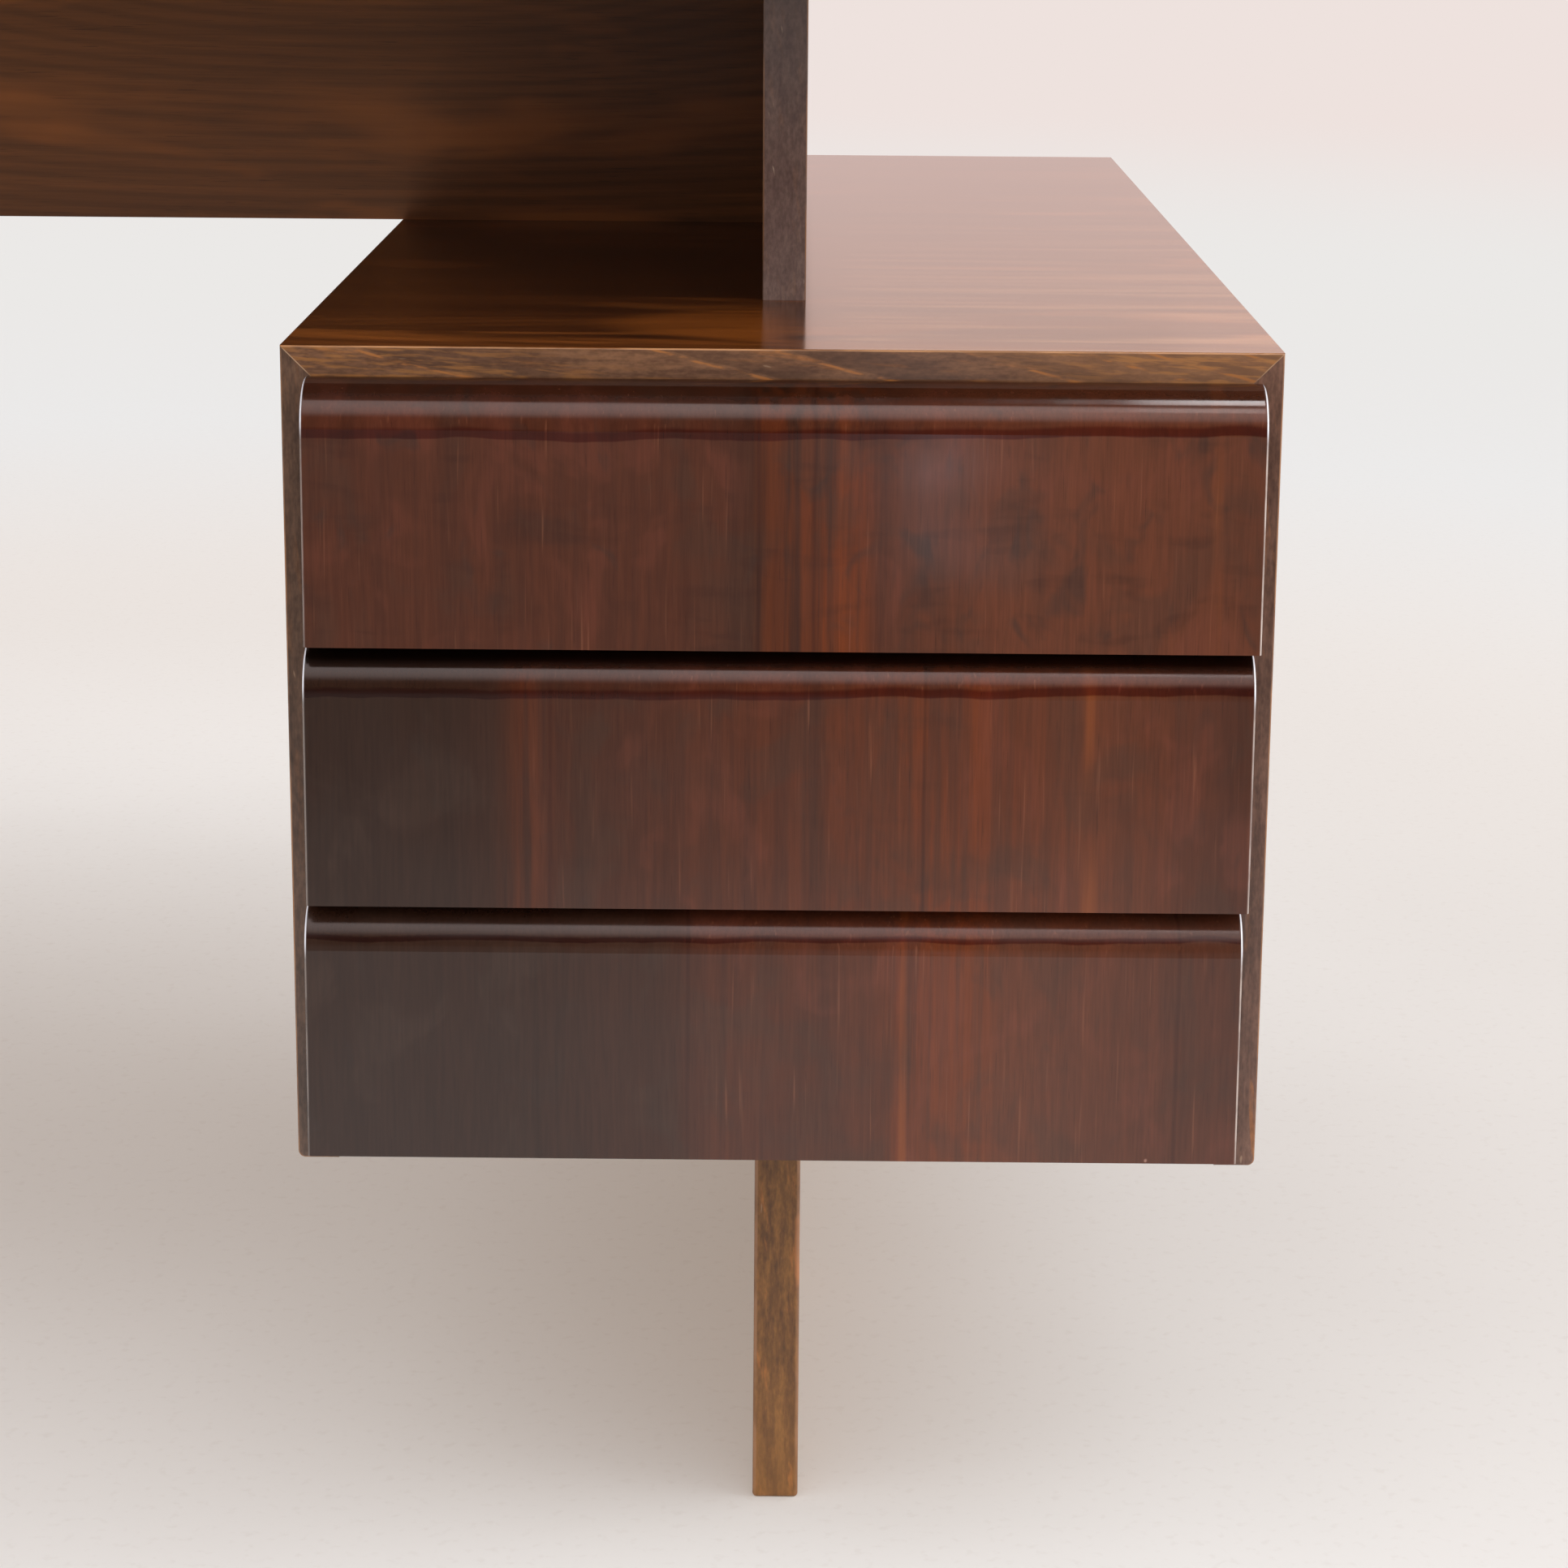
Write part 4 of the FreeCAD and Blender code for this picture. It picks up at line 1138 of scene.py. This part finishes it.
def front_light(tree, x, z, ahead, glossy):
    """The light high in front, where glossy faces see dimmer ends and a narrow window."""
    middle = tree.times(tree.fade(x, *MIDDLE_LEFT_X), tree.fade(x, *MIDDLE_RIGHT_X))
    wide = tree.times(tree.fade(x, *GLINT_LEFT_X), tree.fade(x, *GLINT_RIGHT_X))
    tall = tree.times(tree.fade(z, *GLINT_FROM_Z), tree.fade(z, *GLINT_TO_Z))
    patterned = tree.plus(middle, tree.times(tree.times(wide, tall), SKY_GLINT))
    high = tree.times(ahead, tree.fade(z, *HIGH_FROM_Z), tree.fade(z, *HIGH_TO_Z))
    return tree.times(high, tree.fade(glossy, 0.0, 1.0, 1.0, patterned))


def studio_light(tree, x, y, z, ahead, glossy):
    """How bright the studio is in a direction."""
    sides = tree.times(tree.fade(tree.absolute(x), *SIDES_X), tree.fade(z, *SIDES_Z))
    amount = tree.plus(SKY_PLAIN, tree.times(sides, SKY_SIDES))
    amount = tree.plus(amount, tree.times(front_light(tree, x, z, ahead, glossy), SKY_FRONT))
    overhead = tree.fade(y, *OVERHEAD_Y)
    zenith = tree.times(overhead, tree.fade(z, *ZENITH_Z), glossy, ZENITH_SHADE)
    amount = tree.times(amount, tree.minus(1.0, zenith))
    wide = tree.times(tree.fade(x, *CROWN_LEFT_X), tree.fade(x, *CROWN_RIGHT_X))
    crown = tree.times(wide, tree.times(tree.fade(z, *CROWN_Z), overhead))
    amount = tree.plus(amount, tree.times(crown, glossy, SKY_CROWN))
    belt = tree.times(ahead, tree.fade(z, *BELT_Z), tree.fade(tree.absolute(x), *BELT_X))
    return tree.times(amount, tree.minus(1.0, tree.times(belt, glossy, BELT_SHADE)))


def make_world():
    """Pale all round and brightest low at both sides and high in front, as in a room with
    windows. Glossy faces also see two narrow windows, a darker zenith and a darker belt low in
    front of the desk."""
    world = bpy.data.worlds.new("studio")
    bpy.context.scene.world = world
    world.use_nodes = True
    tree = Tree(world.node_tree)
    where = tree.nodes.new("ShaderNodeTexCoord")
    x, y, z = tree.split(where.outputs["Generated"])
    ray = tree.nodes.new("ShaderNodeLightPath")
    glossy = ray.outputs["Is Glossy Ray"]
    ahead = tree.fade(y, *AHEAD_Y)
    tint = tree.mix(tree.fade(z, *TINT_Z), LOW_LIGHT, HIGH_LIGHT)
    tint = tree.lay(tint, MIRRORED_LIGHT, glossy, ahead)
    light = tree.shade(tint, studio_light(tree, x, y, z, ahead, glossy))
    wall = tree.mix(tree.fade(z, *PLASTER_Z), PLASTER_WALL, WARM_WALL)
    light = tree.lay(light, wall, tree.fade(y, *BEHIND_Y), tree.fade(z, *BEHIND_Z))
    background = tree.nodes["Background"]
    tree.wire(background.inputs["Color"], tree.lay(light, PALE_WALL, ray.outputs["Is Camera Ray"]))
    background.inputs["Strength"].default_value = 1.0


WINDOW_PLACE = Vector((3.4, -0.2, 1.1))
WINDOW_AIM = Vector((0.5, -0.2, 0.4))
WINDOW_WIDTH = 2.6
WINDOW_HEIGHT = 2.0
WINDOW_WATTS = 30.0


def make_lamp():
    """A soft window at the right of the desk."""
    lamp = bpy.data.lights.new("right_window", "AREA")
    lamp.shape = "RECTANGLE"
    lamp.size = WINDOW_WIDTH
    lamp.size_y = WINDOW_HEIGHT
    lamp.energy = WINDOW_WATTS
    window = bpy.data.objects.new("right_window", lamp)
    bpy.context.scene.collection.objects.link(window)
    window.location = WINDOW_PLACE
    window.rotation_mode = "QUATERNION"
    window.rotation_quaternion = (WINDOW_AIM - WINDOW_PLACE).to_track_quat("-Z", "Y")
    window.visible_camera = False


def camera_axes():
    """The camera's right, up and forward directions, from its yaw, pitch and roll."""
    sin_yaw, cos_yaw = math.sin(CAMERA_YAW), math.cos(CAMERA_YAW)
    sin_pitch, cos_pitch = math.sin(CAMERA_PITCH), math.cos(CAMERA_PITCH)
    sin_roll, cos_roll = math.sin(CAMERA_ROLL), math.cos(CAMERA_ROLL)
    forward = Vector((sin_yaw * cos_pitch, cos_yaw * cos_pitch, -sin_pitch))
    level_right = Vector((cos_yaw, -sin_yaw, 0.0))
    level_up = level_right.cross(forward)
    right = level_right * cos_roll - level_up * sin_roll
    up = level_right * sin_roll + level_up * cos_roll
    return right, up, forward


def make_camera():
    """The photograph's view of the pedestal."""
    left_low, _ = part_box("pedestal_left_side")
    _, right_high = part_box("pedestal_right_side")
    middle = (left_low.x + right_high.x) / 2
    data = bpy.data.cameras.new("photo_camera")
    data.sensor_fit = "HORIZONTAL"
    data.sensor_width = SENSOR
    data.lens = SENSOR * FOCAL_PIXELS / PHOTO_SIDE
    data.shift_y = (CENTRE_ROW - PHOTO_SIDE / 2) / PHOTO_SIDE
    camera = bpy.data.objects.new("photo_camera", data)
    bpy.context.scene.collection.objects.link(camera)
    right, up, forward = camera_axes()
    matrix = camera.matrix_world.copy()
    for column, direction in enumerate((right, up, -forward)):
        for row in range(3):
            matrix[row][column] = direction[row]
    matrix.translation = (
        middle + CAMERA_RIGHT, left_low.y - CAMERA_AHEAD, left_low.z + CAMERA_RISE
    )
    camera.matrix_world = matrix
    bpy.context.scene.camera = camera


dress_fronts()
dress_carcase()
dress_planks()
dress_apron_and_top()
dress_fixings()
dress_drawer_boxes()
dress_screws()
make_floor()
make_world()
make_lamp()
make_camera()
bpy.context.scene.view_settings.view_transform = "Standard"
